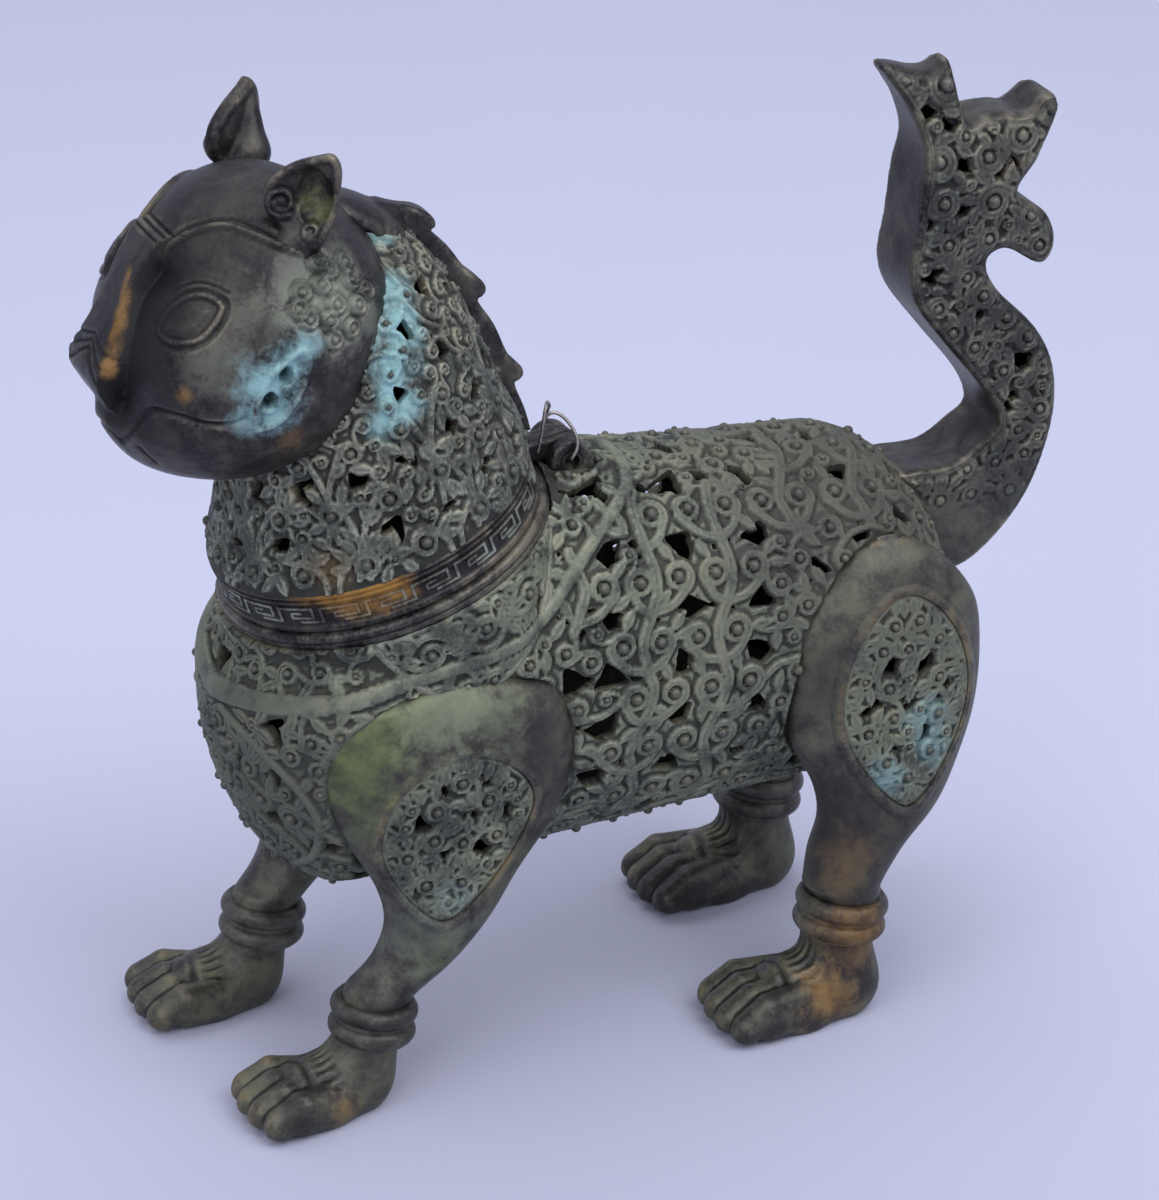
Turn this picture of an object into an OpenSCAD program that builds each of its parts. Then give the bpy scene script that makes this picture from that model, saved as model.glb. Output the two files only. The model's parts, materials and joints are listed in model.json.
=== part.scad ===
// Standing lion incense burner of cast and pierced bronze.
// The lion faces +X, its left side is +Y, and it stands on the plane z = 0.
// The head and neck are the lid: they tip back on a hinge between two lugs on the spine.

/* [Body] */
// Front of the breast, forward of the middle
chest_x = 118; // [114:1:122]
// Back of the rump, behind the middle
rump_x = -121; // [-126:1:-116]
// Rounding length of the rump
rump_round = 40; // [34:1:44]
// Rounding length of the breast
breast_round = 35; // [31:1:39]
// Height of the back over the shoulders
withers_z = 189; // [186:1:192]
// Height of the back over the haunches
croup_z = 175.5; // [170:0.5:180]
// Height of the belly under the chest
chest_belly_z = 64.5; // [61:0.5:67]
// Height of the belly under the loins
loin_belly_z = 70; // [66:0.5:74]
// Half width of the body at the shoulders
chest_half_w = 51; // [49:0.5:54]
// Half width of the body at the flanks
flank_half_w = 46; // [43:0.5:49]
// Wall thickness of the body
body_wall = 3.5; // [2.5:0.5:5]
// Size of the triangular smoke vents in the flanks
flank_vent = 4.4; // [3:0.2:5.4]

/* [Neck mouth] */
// Middle of the seam between neck and body, forward of the middle
mouth_x = 63.5; // [61:0.5:66]
// Height of the middle of the seam
mouth_z = 170.7; // [168:0.5:174]
// Forward tilt of the seam
mouth_tilt = 18; // [14:1:22]
// Outer radius of the neck collar
collar_r = 50.5; // [49:0.5:52]
// Height of the neck collar
collar_h = 13; // [10:0.5:16]
// Radial thickness of the collar and of the seat ring
ring_wall = 6; // [4.5:0.5:8]
// Height of the seat ring on the body
seat_ring_h = 5; // [3:0.5:7]
// Gap between the collar and the seat ring
seam_gap = 0.3; // [0.2:0.05:0.6]

/* [Neck and head] */
// Wall thickness of the neck and the head
lid_wall = 3.5; // [2.5:0.5:5]
// Size of the triangular smoke vents in the neck
neck_vent = 3.6; // [2.6:0.2:4.4]
// Radius of the head
head_r = 46; // [43:0.5:49]
// Middle of the head, forward of the middle of the seam
head_ahead = 43; // [40:0.5:46]
// Height of the middle of the head over the middle of the seam
head_rise = 77.3; // [75:0.5:80]
// Reach of the nose from the middle of the head
nose_reach = 52.5; // [50:0.5:56]
// Height of the ear tips over the middle of the head
ear_rise = 59; // [54:0.5:63]
// Distance of the ear tips from the middle plane
ear_spread = 34; // [31:0.5:37]
// Thickness of the crest along the nape
crest_t = 5; // [3:0.5:7]
// Height of the hooked locks of the crest
crest_lock = 5.5; // [3:0.5:8]

/* [Hinge] */
// Distance of the hinge axis behind the collar
hinge_setback = 10.6; // [9.5:0.1:12]
// Depth of the hinge axis below the seam
hinge_drop = 2.2; // [1.5:0.1:3]
// Radius of the lugs and of the knuckle
lug_r = 6.7; // [6:0.1:7.4]
// Width of each lug
lug_w = 4.6; // [3.6:0.2:6]
// Width of the knuckle between the lugs
knuckle_w = 9.6; // [8:0.2:12]
// Side gap between the knuckle and each lug
knuckle_gap = 0.4; // [0.3:0.05:0.8]
// Outer diameter of the hollow hinge pin
pin_d = 6.9; // [6:0.1:7.6]
// Bore of the hollow hinge pin
pin_bore = 5; // [4.4:0.1:5.4]
// Radial clearance of the hinge pin
pin_clear = 0.05; // [0.02:0.01:0.1]
// Diameter of the tie wire
wire_d = 1.1; // [0.8:0.1:1.4]
// Height of the tie wire's loops over the hinge axis
wire_rise = 19; // [16:0.5:22]

/* [Front legs] */
// Middle of the left shoulder, forward of the middle
shoulder_x = 58.5; // [55:0.5:62]
// Height of the top of the shoulder
shoulder_top = 142; // [136:1:148]
// Half length of the shoulder
shoulder_half_l = 41; // [37:0.5:44]
// Distance of the front legs from the middle plane
front_leg_y = 40; // [37:0.5:43]
// Step of the right front leg ahead of the left one
front_step = 9; // [0:0.5:12]

/* [Hind legs] */
// Middle of the left haunch, behind the middle
haunch_x = -86; // [-90:0.5:-83]
// Height of the top of the haunch
haunch_top = 157.5; // [152:0.5:163]
// Half length of the haunch
haunch_half_l = 32; // [29:0.5:35]
// Distance of the hind legs from the middle plane
hind_leg_y = 43; // [40:0.5:46]
// Step of the right hind leg behind the left one
hind_step = 12; // [0:0.5:14]

/* [Feet] */
// Radius of the front legs inside their anklets
front_ankle_r = 10.4; // [9:0.2:11.6]
// Radius of the hind legs inside their anklets
hind_ankle_r = 11.6; // [10:0.2:12.8]
// Height of the plane between the front legs and their paws
front_ankle_z = 21; // [18:0.5:24]
// Height of the plane between the hind legs and their paws
hind_ankle_z = 27; // [24:0.5:30]
// Height of a double-ringed anklet
anklet_h = 13; // [10:0.5:15]
// Bead radius of an anklet's rings
anklet_bead = 3.1; // [2.4:0.1:3.6]
// Length of a front paw
front_paw_l = 49; // [45:1:53]
// Length of a hind paw
hind_paw_l = 57; // [53:1:61]
// Half width of a paw at its toes
paw_half_w = 17.5; // [15:0.5:19]

/* [Panels] */
// Depth of the pierced panels below the arches around them
panel_sink = 1.2; // [0.6:0.2:2]
// Thickness of the pierced panels
panel_t = 3; // [2:0.5:4]
// Size of the triangular vents in the panels
panel_vent = 3.2; // [2.4:0.2:4]

/* [Tail] */
// Width of the tail
tail_w = 26; // [22:1:30]
// Width of the rim around the tail's pierced sides
tail_rim = 4; // [3:0.5:5]
// Depth of the pierced sides below the rim
tail_sink = 0.8; // [0.4:0.2:1.6]
// Size of the vents in the tail
tail_vent = 4; // [3:0.2:5]

/* [Scrolls] */
// Radius of the knobs at the hearts of the main scrolls
knob_r = 5; // [3.5:0.25:5.5]
// Height of those knobs over the skin
knob_h = 2; // [1:0.2:2.6]
// Distance from scroll to scroll along the body
scroll_pitch = 12.5; // [11.5:0.5:14]

/* [Ember pan] */
// Radius of the ember pan's rim
pan_r = 27; // [22:1:32]
// Height of the ember pan
pan_h = 20; // [14:1:26]
// Wall thickness of the ember pan
pan_wall = 2; // [1.5:0.5:3]
// Radius of the ember pan's foot
pan_foot_r = 14; // [11:1:17]
// Height of the floor that the pan stands on
floor_z = 72; // [70.5:0.5:75]
// Radius of the rivet's shank
rivet_r = 2; // [1.5:0.25:2.5]

/* [Hidden] */
far = 200;
skin = 0.05;
body_sides = 36;
body_inner_sides = 24;
lid_inner_sides = 20;
knob_sides = 5;
// Angle between rows of scrolls round the body
scroll_climb = 21;
leg_sides = 24;
egg_sides = 28;
paw_sides = 16;
neck_sides = 32;
fine = 64;
bronze = "#4a4a3a";
green = "#5f6b52";
dark = "#2f2a28";
gold = "#7d6a3c";

// Hinge axis in the frame of the seam
hinge_lx = -collar_r - hinge_setback;
hinge_lz = -hinge_drop;
seat_z = -seam_gap / 2 - seat_ring_h;
pin_bore_r = pin_d / 2 + pin_clear;
knuckle_half = knuckle_w / 2;
lug_in = knuckle_half + knuckle_gap;
lug_out = lug_in + lug_w;
// Depth of a lug's foot below its round head
lug_root = 4;
// Depth of the flat on the collar that the knuckle's arm stands on
collar_cut = 2;
// Middle of the head
head_x = mouth_x + head_ahead;
head_z = mouth_z + head_rise;
// Lean of the anklets and of the ankles inside them
ankle_lean = 8;
front_ankle_x = shoulder_x + 25;
front_ankle_y = front_leg_y - 4;
hind_ankle_x = haunch_x + 14.5;
hind_ankle_y = hind_leg_y;
pan_x = mouth_x - 8;

function mix(a, b, t) = a + (b - a) * t;
function ease(t) = let (u = max(0, min(1, t))) u * u * (3 - 2 * u);
function curve_at(p, i, t) =
    let (last = len(p) - 1, a = p[max(i - 1, 0)], b = p[i], c = p[i + 1], d = p[min(i + 2, last)])
    0.5 * (2 * b + (c - a) * t + (2 * a - 5 * b + 4 * c - d) * t * t + (3 * (b - c) + d - a) * t * t * t);
// Smooth run through a list of stations, with so many steps between neighbours
function run(p, steps) = concat([for (i = [0:len(p) - 2]) for (k = [0:steps - 1]) curve_at(p, i, k / steps)],
    [p[len(p) - 1]]);
// Smooth closed run through a list of points
function loop(p, steps) = let (n = len(p))
    [for (i = [0:n - 1]) for (k = [0:steps - 1])
        curve_at([p[(i + n - 1) % n], p[i], p[(i + 1) % n], p[(i + 2) % n]], 1, k / steps)];
function rounded(v, power) = sign(v) * pow(abs(v), power);

// Closed skin over rings of equal length
module loft(rings) {
    n = len(rings[0]);
    m = len(rings);
    sides = [for (j = [0:m - 2]) for (i = [0:n - 1]) let (k = (i + 1) % n)
        each [[j * n + i, (j + 1) * n + k, j * n + k], [j * n + i, (j + 1) * n + i, (j + 1) * n + k]]];
    first = [for (i = [0:n - 1]) i];
    last = [for (i = [n - 1:-1:0]) (m - 1) * n + i];
    polyhedron([for (r = rings) each r], concat(sides, [first, last]), convexity = 8);
}

// Sculpted piece: its blends and piercings are cut on one skin
module sculpt() {
    resize([0, 0, 0]) children();
}

module mirrored(right) {
    mirror([0, right ? 1 : 0, 0]) children();
}

module mouth_frame() {
    translate([mouth_x, 0, mouth_z]) rotate([0, mouth_tilt, 0]) children();
}

module hinge_frame() {
    mouth_frame() translate([hinge_lx, 0, hinge_lz]) children();
}

module across(r, half, facets = fine) {
    rotate([90, 0, 0]) cylinder(r = r, h = 2 * half, center = true, $fn = facets);
}

// Body

function body_share(x) = (x - rump_x) / (chest_x - rump_x);
function body_ring(x, e, grow, sides = body_sides) =
    let (s = body_share(x), rise = ease(s * 1.3),
        top = mix(croup_z, withers_z, rise), low = mix(loin_belly_z, chest_belly_z, rise),
        w = e * (mix(flank_half_w, chest_half_w, ease(1.9 * s - 0.75)) + grow),
        h = e * ((top - low) / 2 + grow))
    [for (i = [0:sides - 1]) let (a = 360 * i / sides)
        [x, w * rounded(cos(a), 0.88), (top + low) / 2 + h * rounded(sin(a), 0.94)]];
function body_rings(grow, sides = body_sides) =
    let (turns = [7, 20, 35, 52, 72], rear = rump_x - grow, front = chest_x + grow,
        mid = 5, x0 = rear + rump_round, x1 = front - breast_round)
    concat([for (a = turns) body_ring(rear + rump_round * (1 - cos(a)), sin(a), grow, sides)],
        [for (k = [0:mid]) body_ring(mix(x0, x1, k / mid), 1, grow, sides)],
        [for (k = [len(turns) - 1:-1:0]) let (a = turns[k])
            body_ring(front - breast_round * (1 - cos(a)), sin(a), grow, sides)]);

module neck_base(grow) {
    mouth_frame() rotate_extrude($fn = 48)
        polygon([[0, -48], [collar_r - 7 + grow, -48], [collar_r + grow, -30], [collar_r + 1.2 + grow, -14],
            [collar_r + grow, 0], [collar_r + grow, 2], [0, 2]]);
}

module body_outside() {
    loft(body_rings(0));
    neck_base(0);
}

module hinge_block() {
    hinge_frame() translate([-lug_r - 6, -lug_out - 4, -lug_r - 8])
        cube([2 * lug_r + 14, 2 * lug_out + 8, 2 * lug_r + 16]);
}

module body_inside() {
    difference() {
        union() {
            loft(body_rings(-body_wall, body_inner_sides));
            neck_base(-ring_wall);
        }
        hinge_block();
        translate([pan_x, 0, 0]) cylinder(r = pan_foot_r + 3, h = floor_z, $fn = 32);
    }
    mouth_frame() translate([0, 0, -30]) cylinder(r = collar_r - ring_wall, h = 60, $fn = 48);
}

module vent(r, turn, deep, long) {
    translate([0, 0, deep]) rotate([0, 0, turn]) linear_extrude(long) circle(r = r, $fn = 3);
}

// Rows of vents round the flank, and their places along it
function flank_climb(row) = -34 + row * scroll_climb;
function flank_along(row, k) = -40 + k * scroll_pitch + (row % 2) * 6 - row * 2;

// Distance from the body's middle line to its skin, at a place along it and a climb round it
function body_middle(x) = let (rise = ease(body_share(x) * 1.3))
    (mix(croup_z, withers_z, rise) + mix(loin_belly_z, chest_belly_z, rise)) / 2;
function body_end(x) = let (d = min(1, (x - rump_x) / rump_round, (chest_x - x) / breast_round))
    sqrt(1 - pow(1 - d, 2));
function skin_step(r, climb, w, h) =
    r / pow(pow(r * abs(cos(climb)) / w, 2 / 0.88) + pow(r * abs(sin(climb)) / h, 2 / 0.94), 0.45);
function skin_reach(x, climb) = let (e = body_end(x), rise = ease(body_share(x) * 1.3),
        w = e * mix(flank_half_w, chest_half_w, ease(1.9 * body_share(x) - 0.75)),
        h = e * (mix(croup_z, withers_z, rise) - mix(loin_belly_z, chest_belly_z, rise)) / 2)
    skin_step(skin_step(skin_step(skin_step(h, climb, w, h), climb, w, h), climb, w, h), climb, w, h);

// Low knob at the heart of a scroll, standing on the skin
module scroll_knob() {
    root = 0.8;
    translate([0, 0, -root]) cylinder(r1 = knob_r, r2 = 0, h = knob_h + root, $fn = knob_sides);
}

// First and last knob of each row on the body, counted as the vents are
knob_runs = [[0, 3], [0, 3], [0, 3], [0, 3], [0, 4], [-4, 2], [-4, -2]];

module flank_knobs() {
    for (row = [0:len(knob_runs) - 1]) for (k = [knob_runs[row][0]:knob_runs[row][1]]) {
        climb = flank_climb(row - 0.5);
        x = flank_along(row, k) + 0.5 * scroll_pitch;
        for (right = [false, true]) mirrored(right) translate([x, 0, body_middle(x)])
            rotate([climb - 90, 0, 0]) translate([0, 0, skin_reach(x, climb)]) scroll_knob();
    }
}

module frieze_knobs() {
    around = 18;
    drop = 15;
    mouth_frame() for (k = [-6:6])
        rotate([0, 0, 360 * k / around]) translate([collar_r + 1, 0, -drop]) rotate([0, 90, 0]) scroll_knob();
}

module flank_vents() {
    axis_z = (withers_z + chest_belly_z) / 2;
    rows = 6;
    for (row = [0:rows - 1]) for (k = [0:5]) for (right = [false, true]) {
        climb = flank_climb(row);
        mirrored(right) translate([flank_along(row, k), 0, axis_z]) rotate([climb - 90, 0, 0])
            vent(flank_vent, 60 * ((row + k) % 2) + 30, flank_half_w - 12, 30);
    }
}

module panel_window(hind, grow) {
    outline = hind ? haunch_outline(grow) : shoulder_outline(grow);
    rotate([90, 0, 0]) translate([0, 0, -far]) linear_extrude(far) polygon(outline);
}

module leg_windows() {
    for (right = [false, true]) mirrored(right) {
        translate([right ? front_step : 0, 0, 0]) panel_window(false, -4);
        translate([right ? -hind_step : 0, 0, 0]) panel_window(true, -4);
    }
}

// One lug as a solid: a round head on a square foot let into the back
module lug_body() {
    translate([0, lug_in + lug_w / 2, 0]) across(lug_r, lug_w / 2);
    translate([-lug_r, lug_in, -lug_r - lug_root]) cube([2 * lug_r, lug_w, lug_r + lug_root]);
}

module torso_shell() {
    color(green) sculpt() difference() {
        union() {
            body_outside();
            flank_knobs();
            frieze_knobs();
        }
        body_inside();
        mouth_frame() translate([0, 0, seat_z]) cylinder(r = collar_r + 3, h = 40, $fn = 48);
        flank_vents();
        intersection() {
            leg_windows();
            translate([-far, -far, 0]) cube([2 * far, 2 * far, withers_z - 20]);
        }
        hinge_frame() {
            across(lug_r + 0.5, knuckle_half + knuckle_gap, 32);
            translate([0, -lug_in, 0]) cube([lug_r + 8, 2 * lug_in, 20]);
            for (right = [false, true]) mirrored(right) lug_body();
        }
        translate([pan_x, 0, 0]) cylinder(r = rivet_r + 0.2, h = floor_z + 1, $fn = 24);
    }
}

module neck_seat_ring() {
    color(dark) mouth_frame() translate([0, 0, seat_z]) rotate_extrude($fn = 96)
        translate([collar_r + 0.8 - ring_wall, 0]) square([ring_wall, seat_ring_h]);
}

module ember_pan() {
    color(dark) translate([pan_x, 0, floor_z]) rotate_extrude($fn = 96)
        polygon([[rivet_r + 0.1, 0], [pan_foot_r, 0], [pan_r, pan_h], [pan_r - pan_wall, pan_h],
            [pan_foot_r - pan_wall, pan_wall], [rivet_r + 0.1, pan_wall]]);
}

module pan_rivet() {
    low = chest_belly_z - 2;
    color(gold) translate([pan_x, 0, 0]) rotate_extrude($fn = 48)
        polygon([[0, low], [rivet_r, low], [rivet_r, floor_z + pan_wall], [2 * rivet_r, floor_z + pan_wall],
            [1.6 * rivet_r, floor_z + pan_wall + 1.4], [0, floor_z + pan_wall + 1.8]]);
}

// Legs

// Stations of a leg: middle forward, middle sideways, height, half length, half width
front_stations = let (x = shoulder_x, y = front_leg_y, top = shoulder_top, l = shoulder_half_l,
        r = front_ankle_r, ax = front_ankle_x, az = front_ankle_z, ay = front_ankle_y)
    [[x, y + 8, top, 4, 3], [x, y + 6, top - 6, 0.56 * l, 7], [x, y + 3.5, top - 20, 0.9 * l, 11],
    [x - 0.5, y + 2, top - 37, l, 12.8], [x - 1, y + 1, top - 53, 0.8 * l, 12.8],
    [x + 1, y + 1, top - 68, 0.56 * l, 13], [x + 4, y, 60, 16.8, 13],
    [x + 11, y - 2, 47, 13.2, 12], [ax - 4, ay, az + anklet_h + 3, r + 0.6, r + 0.6]];
hind_stations = let (x = haunch_x, y = hind_leg_y, top = haunch_top, l = haunch_half_l,
        r = hind_ankle_r, ax = hind_ankle_x, az = hind_ankle_z, ay = hind_ankle_y)
    [[x - 2, y - 4, top, 4, 2], [x - 2, y - 3, top - 7, 0.52 * l, 7], [x - 1, y - 1, top - 22, 0.9 * l, 10.5],
    [x, y, top - 40, l, 11.5], [x + 1, y, top - 60, 0.98 * l, 12], [x, y + 0.5, top - 77, 0.76 * l, 12.5],
    [x + 2, y + 0.5, 68, 20, 12.5], [x + 9, y + 0.5, 56, 16, 12.2],
    [ax - 1, ay, az + anklet_h + 4, r + 0.8, r + 0.6]];

function leg_ring(s, lean, grow) = [for (i = [leg_sides - 1:-1:0])
    let (a = 360 * i / leg_sides, u = (s[3] + grow) * cos(a))
    [s[0] + u * cos(lean), s[1] + (s[4] + grow) * sin(a), s[2] - u * sin(lean)]];
// The last rings are round and lean with the ankle
function ankle_ring(x, y, z, r, up) =
    leg_ring([x - up * sin(ankle_lean), y, z + up * cos(ankle_lean), r, r], -ankle_lean, 0);
function leg_rings(hind, grow) = let (s = hind ? hind_stations : front_stations,
        x = hind ? hind_ankle_x : front_ankle_x, y = hind ? hind_ankle_y : front_ankle_y,
        z = hind ? hind_ankle_z : front_ankle_z, r = hind ? hind_ankle_r : front_ankle_r)
    concat([for (p = run(s, 2)) leg_ring(p, 0, grow)],
        [ankle_ring(x, y, z, r, anklet_h), ankle_ring(x, y, z, r, 0)]);

// Egg-shaped outline, drawn in below its middle, with its lower end carried forward
function egg(cx, cz, w, up, down, lean) = [for (k = [0:egg_sides - 1])
    let (a = 360 * k / egg_sides, s = sin(a), pinch = s > 0 ? 0.16 : 0.44)
    [cx + w * cos(a) * (1 - pinch * s * s) + lean * max(0, -s), cz + (s > 0 ? up : down) * s]];
function shoulder_outline(grow) = egg(shoulder_x + 1, shoulder_top - 43, 24 + grow, 21 + grow, 34 + grow, 6);
function haunch_outline(grow) = egg(haunch_x - 3, haunch_top - 49, 22 + grow, 34 + grow, 36 + grow, 0);

module leg_place(hind, right) {
    step = hind ? -hind_step : front_step;
    mirrored(right) translate([right ? step : 0, 0, 0]) children();
}

module beyond(y) {
    translate([-far, y, 0]) cube([2 * far, far, 2 * far]);
}

// Inner face of a pierced panel
function panel_back(hind) = (hind ? hind_leg_y + 11.5 : front_leg_y + 13) - panel_sink - panel_t - 2.2;

module leg(hind, right) {
    color(dark) sculpt() difference() {
        leg_place(hind, right) difference() {
            loft(leg_rings(hind, 0));
            panel_window(hind, 0);
        }
        body_outside();
    }
}

module panel(hind, right) {
    cx = hind ? haunch_x - 3 : shoulder_x + 1;
    cz = hind ? haunch_top - 49 : shoulder_top - 43;
    color(green) sculpt() difference() {
        leg_place(hind, right) difference() {
            intersection() {
                loft(leg_rings(hind, -panel_sink));
                panel_window(hind, 0);
                beyond(panel_back(hind));
            }
            for (k = [0:6]) {
                ring = k == 0 ? 0 : 12.5;
                translate([cx + ring * cos(60 * k), far, cz + ring * 1.1 * sin(60 * k)]) rotate([90, 0, 0])
                    vent(panel_vent, 60 * k + 30, 0, 2 * far);
            }
        }
        body_outside();
    }
}

module anklet(hind, right) {
    r = (hind ? hind_ankle_r : front_ankle_r) + skin;
    place = hind ? [hind_ankle_x, hind_ankle_y, hind_ankle_z] : [front_ankle_x, front_ankle_y, front_ankle_z];
    color(gold) leg_place(hind, right) translate(place) rotate([0, -ankle_lean, 0]) rotate_extrude($fn = 64)
        difference() {
            union() {
                translate([r, 0]) square([anklet_bead * 0.45, anklet_h]);
                for (z = [anklet_bead, anklet_h - anklet_bead])
                    translate([r, z]) circle(r = anklet_bead, $fn = 40);
            }
            translate([r - far, -far]) square([far, 2 * far]);
        }
}

// Paws

// Stations of a paw: share of the length, half width as a share, height over the ground
paw_stations = [[0, 0.36, 14], [0.14, 0.56, 24], [0.32, 0.66, 27], [0.52, 0.76, 19], [0.72, 0.9, 14.5],
    [0.86, 0.94, 12]];

function paw_ring(x, w, h) = [for (i = [0:paw_sides - 1]) let (a = 360 * i / paw_sides)
    [x, w * rounded(cos(a), 0.8), h * rounded(sin(a), 0.8)]];

module paw_toes(length) {
    for (k = [0:3]) {
        side = k - 1.5;
        spread = side * paw_half_w * 0.56;
        translate([length - 9.5 - abs(side) * 2.2, spread, 6]) scale([9.5, paw_half_w * 0.29, 9])
            sphere(r = 1, $fn = 12);
    }
}

module paw(hind, right) {
    length = hind ? hind_paw_l : front_paw_l;
    r = hind ? hind_ankle_r : front_ankle_r;
    place = hind ? [hind_ankle_x, hind_ankle_y, hind_ankle_z] : [front_ankle_x, front_ankle_y, front_ankle_z];
    back = hind ? 12 : 5;
    tall = place[2] / 21;
    color(dark) sculpt() leg_place(hind, right) difference() {
        translate([place[0] - back, place[1], 0]) rotate([0, 0, hind ? 0 : 3]) {
            loft([for (s = run(paw_stations, 2)) paw_ring(s[0] * length, s[1] * paw_half_w, s[2] * tall)]);
            paw_toes(length);
        }
        translate([-far, -far, -2 * far]) cube([2 * far, 2 * far, 2 * far]);
        translate(place) rotate([0, -ankle_lean, 0]) translate([-far, -far, 0]) cube([2 * far, 2 * far, far]);
    }
}

// Tail

// Outline of the tail, seen from the side, up the back edge and down the front edge
tail_points = [[-100, 132], [-122, 128], [-136, 134], [-150, 150], [-158, 172], [-158, 191], [-151, 206],
    [-137, 221], [-133, 231], [-140, 234], [-152, 227], [-156.5, 234], [-153, 244], [-143, 252], [-149, 261],
    [-155, 270], [-158.5, 278], [-154, 281], [-147, 276], [-141, 273.5], [-133, 272.5], [-127, 274],
    [-125.5, 281], [-124, 289], [-120, 296], [-115, 295], [-111.5, 291], [-104.5, 291.5], [-108.5, 283],
    [-112, 270], [-110.5, 255], [-109, 242], [-107, 230], [-110, 219], [-121, 204], [-135, 186],
    [-139, 175], [-133, 170], [-122, 164], [-100, 162]];
// Middle line of the pierced sides
tail_middle = [[-149, 175], [-150, 187], [-141, 200], [-130, 211], [-121, 224], [-121, 238], [-128, 251],
    [-144, 241]];
// Heights between which the tail thins towards its tips, and its width at the tips
tail_thin_z = 262;
tail_tip_z = 297;
tail_tip_w = 10;

module tail_outline() {
    polygon(loop(tail_points, 3));
}

module tail_window() {
    intersection() {
        offset(delta = -tail_rim) tail_outline();
        translate([-far, 168]) square([far, tail_thin_z - 168 - tail_rim]);
    }
}

module upright(y0, thick) {
    translate([0, y0 + thick, 0]) rotate([90, 0, 0]) linear_extrude(thick) children();
}

module tail_frame() {
    color(dark) sculpt() difference() {
        intersection() {
            upright(-tail_w / 2, tail_w) tail_outline();
            translate([-far, 0, 0]) rotate([90, 0, 90]) linear_extrude(far)
                polygon([[-tail_w / 2, 0], [tail_w / 2, 0], [tail_w / 2, tail_thin_z],
                    [tail_tip_w / 2, tail_tip_z], [0, tail_tip_z + tail_tip_w / 4],
                    [-tail_tip_w / 2, tail_tip_z], [-tail_w / 2, tail_thin_z]]);
        }
        upright(-far / 2, far) tail_window();
        body_outside();
        for (right = [false, true]) leg_place(true, right) loft(leg_rings(true, skin));
    }
}

module tail_fret(right) {
    color(green) mirrored(right) sculpt() upright(tail_w / 2 - tail_sink - panel_t, panel_t) difference() {
        tail_window();
        for (k = [0:len(tail_middle) - 1])
            translate(tail_middle[k]) rotate(50 * k) circle(r = tail_vent, $fn = 3);
    }
}

// Hinge

module hinge_lug(right) {
    color(bronze) mirrored(right) hinge_frame() difference() {
        lug_body();
        across(pin_bore_r, far / 2);
    }
}

module hinge_pin() {
    color(gold) hinge_frame() difference() {
        across(pin_d / 2, lug_out);
        across(pin_bore / 2, far / 2);
    }
}

module hinge_knuckle() {
    arm_h = 9;
    arm_z = hinge_drop + 0.5;
    color(dark) hinge_frame() difference() {
        union() {
            across(lug_r, knuckle_half);
            translate([collar_cut - lug_r, -knuckle_half, arm_z])
                cube([hinge_setback + lug_r, knuckle_w, arm_h]);
        }
        across(pin_bore_r, far / 2);
    }
}

// Lid

module collar_flat() {
    translate([collar_cut - collar_r - far, -knuckle_half, -far / 2]) cube([far, knuckle_w, far]);
}

module neck_collar() {
    color(bronze) mouth_frame() difference() {
        rotate_extrude($fn = 96)
            translate([collar_r - ring_wall, seam_gap / 2]) square([ring_wall, collar_h]);
        collar_flat();
    }
}

// Stations of the neck in the frame of the seam: forward, up, radius, lean
neck_stations = let (z0 = seam_gap / 2 + collar_h)
    [[0, z0, collar_r - 0.5, 0], [-4, z0 + 14, collar_r - 4, 1], [-7, z0 + 31, collar_r - 7.5, 4],
    [-8, z0 + 49, collar_r - 10.5, 10], [-7, z0 + 66, collar_r - 15.5, 20], [-1, z0 + 82, collar_r - 30, 34]];

function neck_ring(s, grow, sides = neck_sides) = [for (i = [0:sides - 1])
    let (a = 360 * i / sides, u = (s[2] + grow) * cos(a))
    [s[0] + u * cos(s[3]), (s[2] + grow) * sin(a), s[1] - u * sin(s[3])]];

module neck_outside() {
    mouth_frame() loft([for (s = run(neck_stations, 2)) neck_ring(s, 0)]);
}

// Hollow of the neck, open downwards past the collar's top
module neck_inside() {
    below = neck_stations[0] - [0, 2, 0, 0];
    mouth_frame() loft([for (s = concat([below], run(neck_stations, 2)))
        neck_ring(s, -lid_wall, lid_inner_sides)]);
}

module neck_vents() {
    around = 16;
    mouth_frame() for (row = [0:1]) for (k = [0:around - 1])
        translate([-3 - 3 * row, 0, collar_h + 13 + 15 * row])
            rotate([0, 90, 360 * (k + 0.5 + row / 2) / around])
                vent(neck_vent, 60 * (k % 2), collar_r - 20, 40);
}

// Knobs stand between the rows of vents, and leave the nape free for the crest
module neck_knobs() {
    around = 16;
    rings = run(neck_stations, 4);
    mouth_frame() for (row = [0:2]) for (k = [-7:7]) {
        s = rings[2 + 4 * row];
        shift = row == 1 ? 0.5 : 0;
        if (abs(k + shift) < 7.2)
            translate([s[0], 0, s[1]]) rotate([0, s[3], 0]) rotate([0, 0, 360 * (k + shift) / around])
                translate([s[2], 0, 0]) rotate([0, 90, 0]) scroll_knob();
    }
}

module neck_shell() {
    color(green) sculpt() difference() {
        union() {
            neck_outside();
            neck_knobs();
        }
        neck_inside();
        neck_vents();
        head_outside(0);
    }
}

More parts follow.
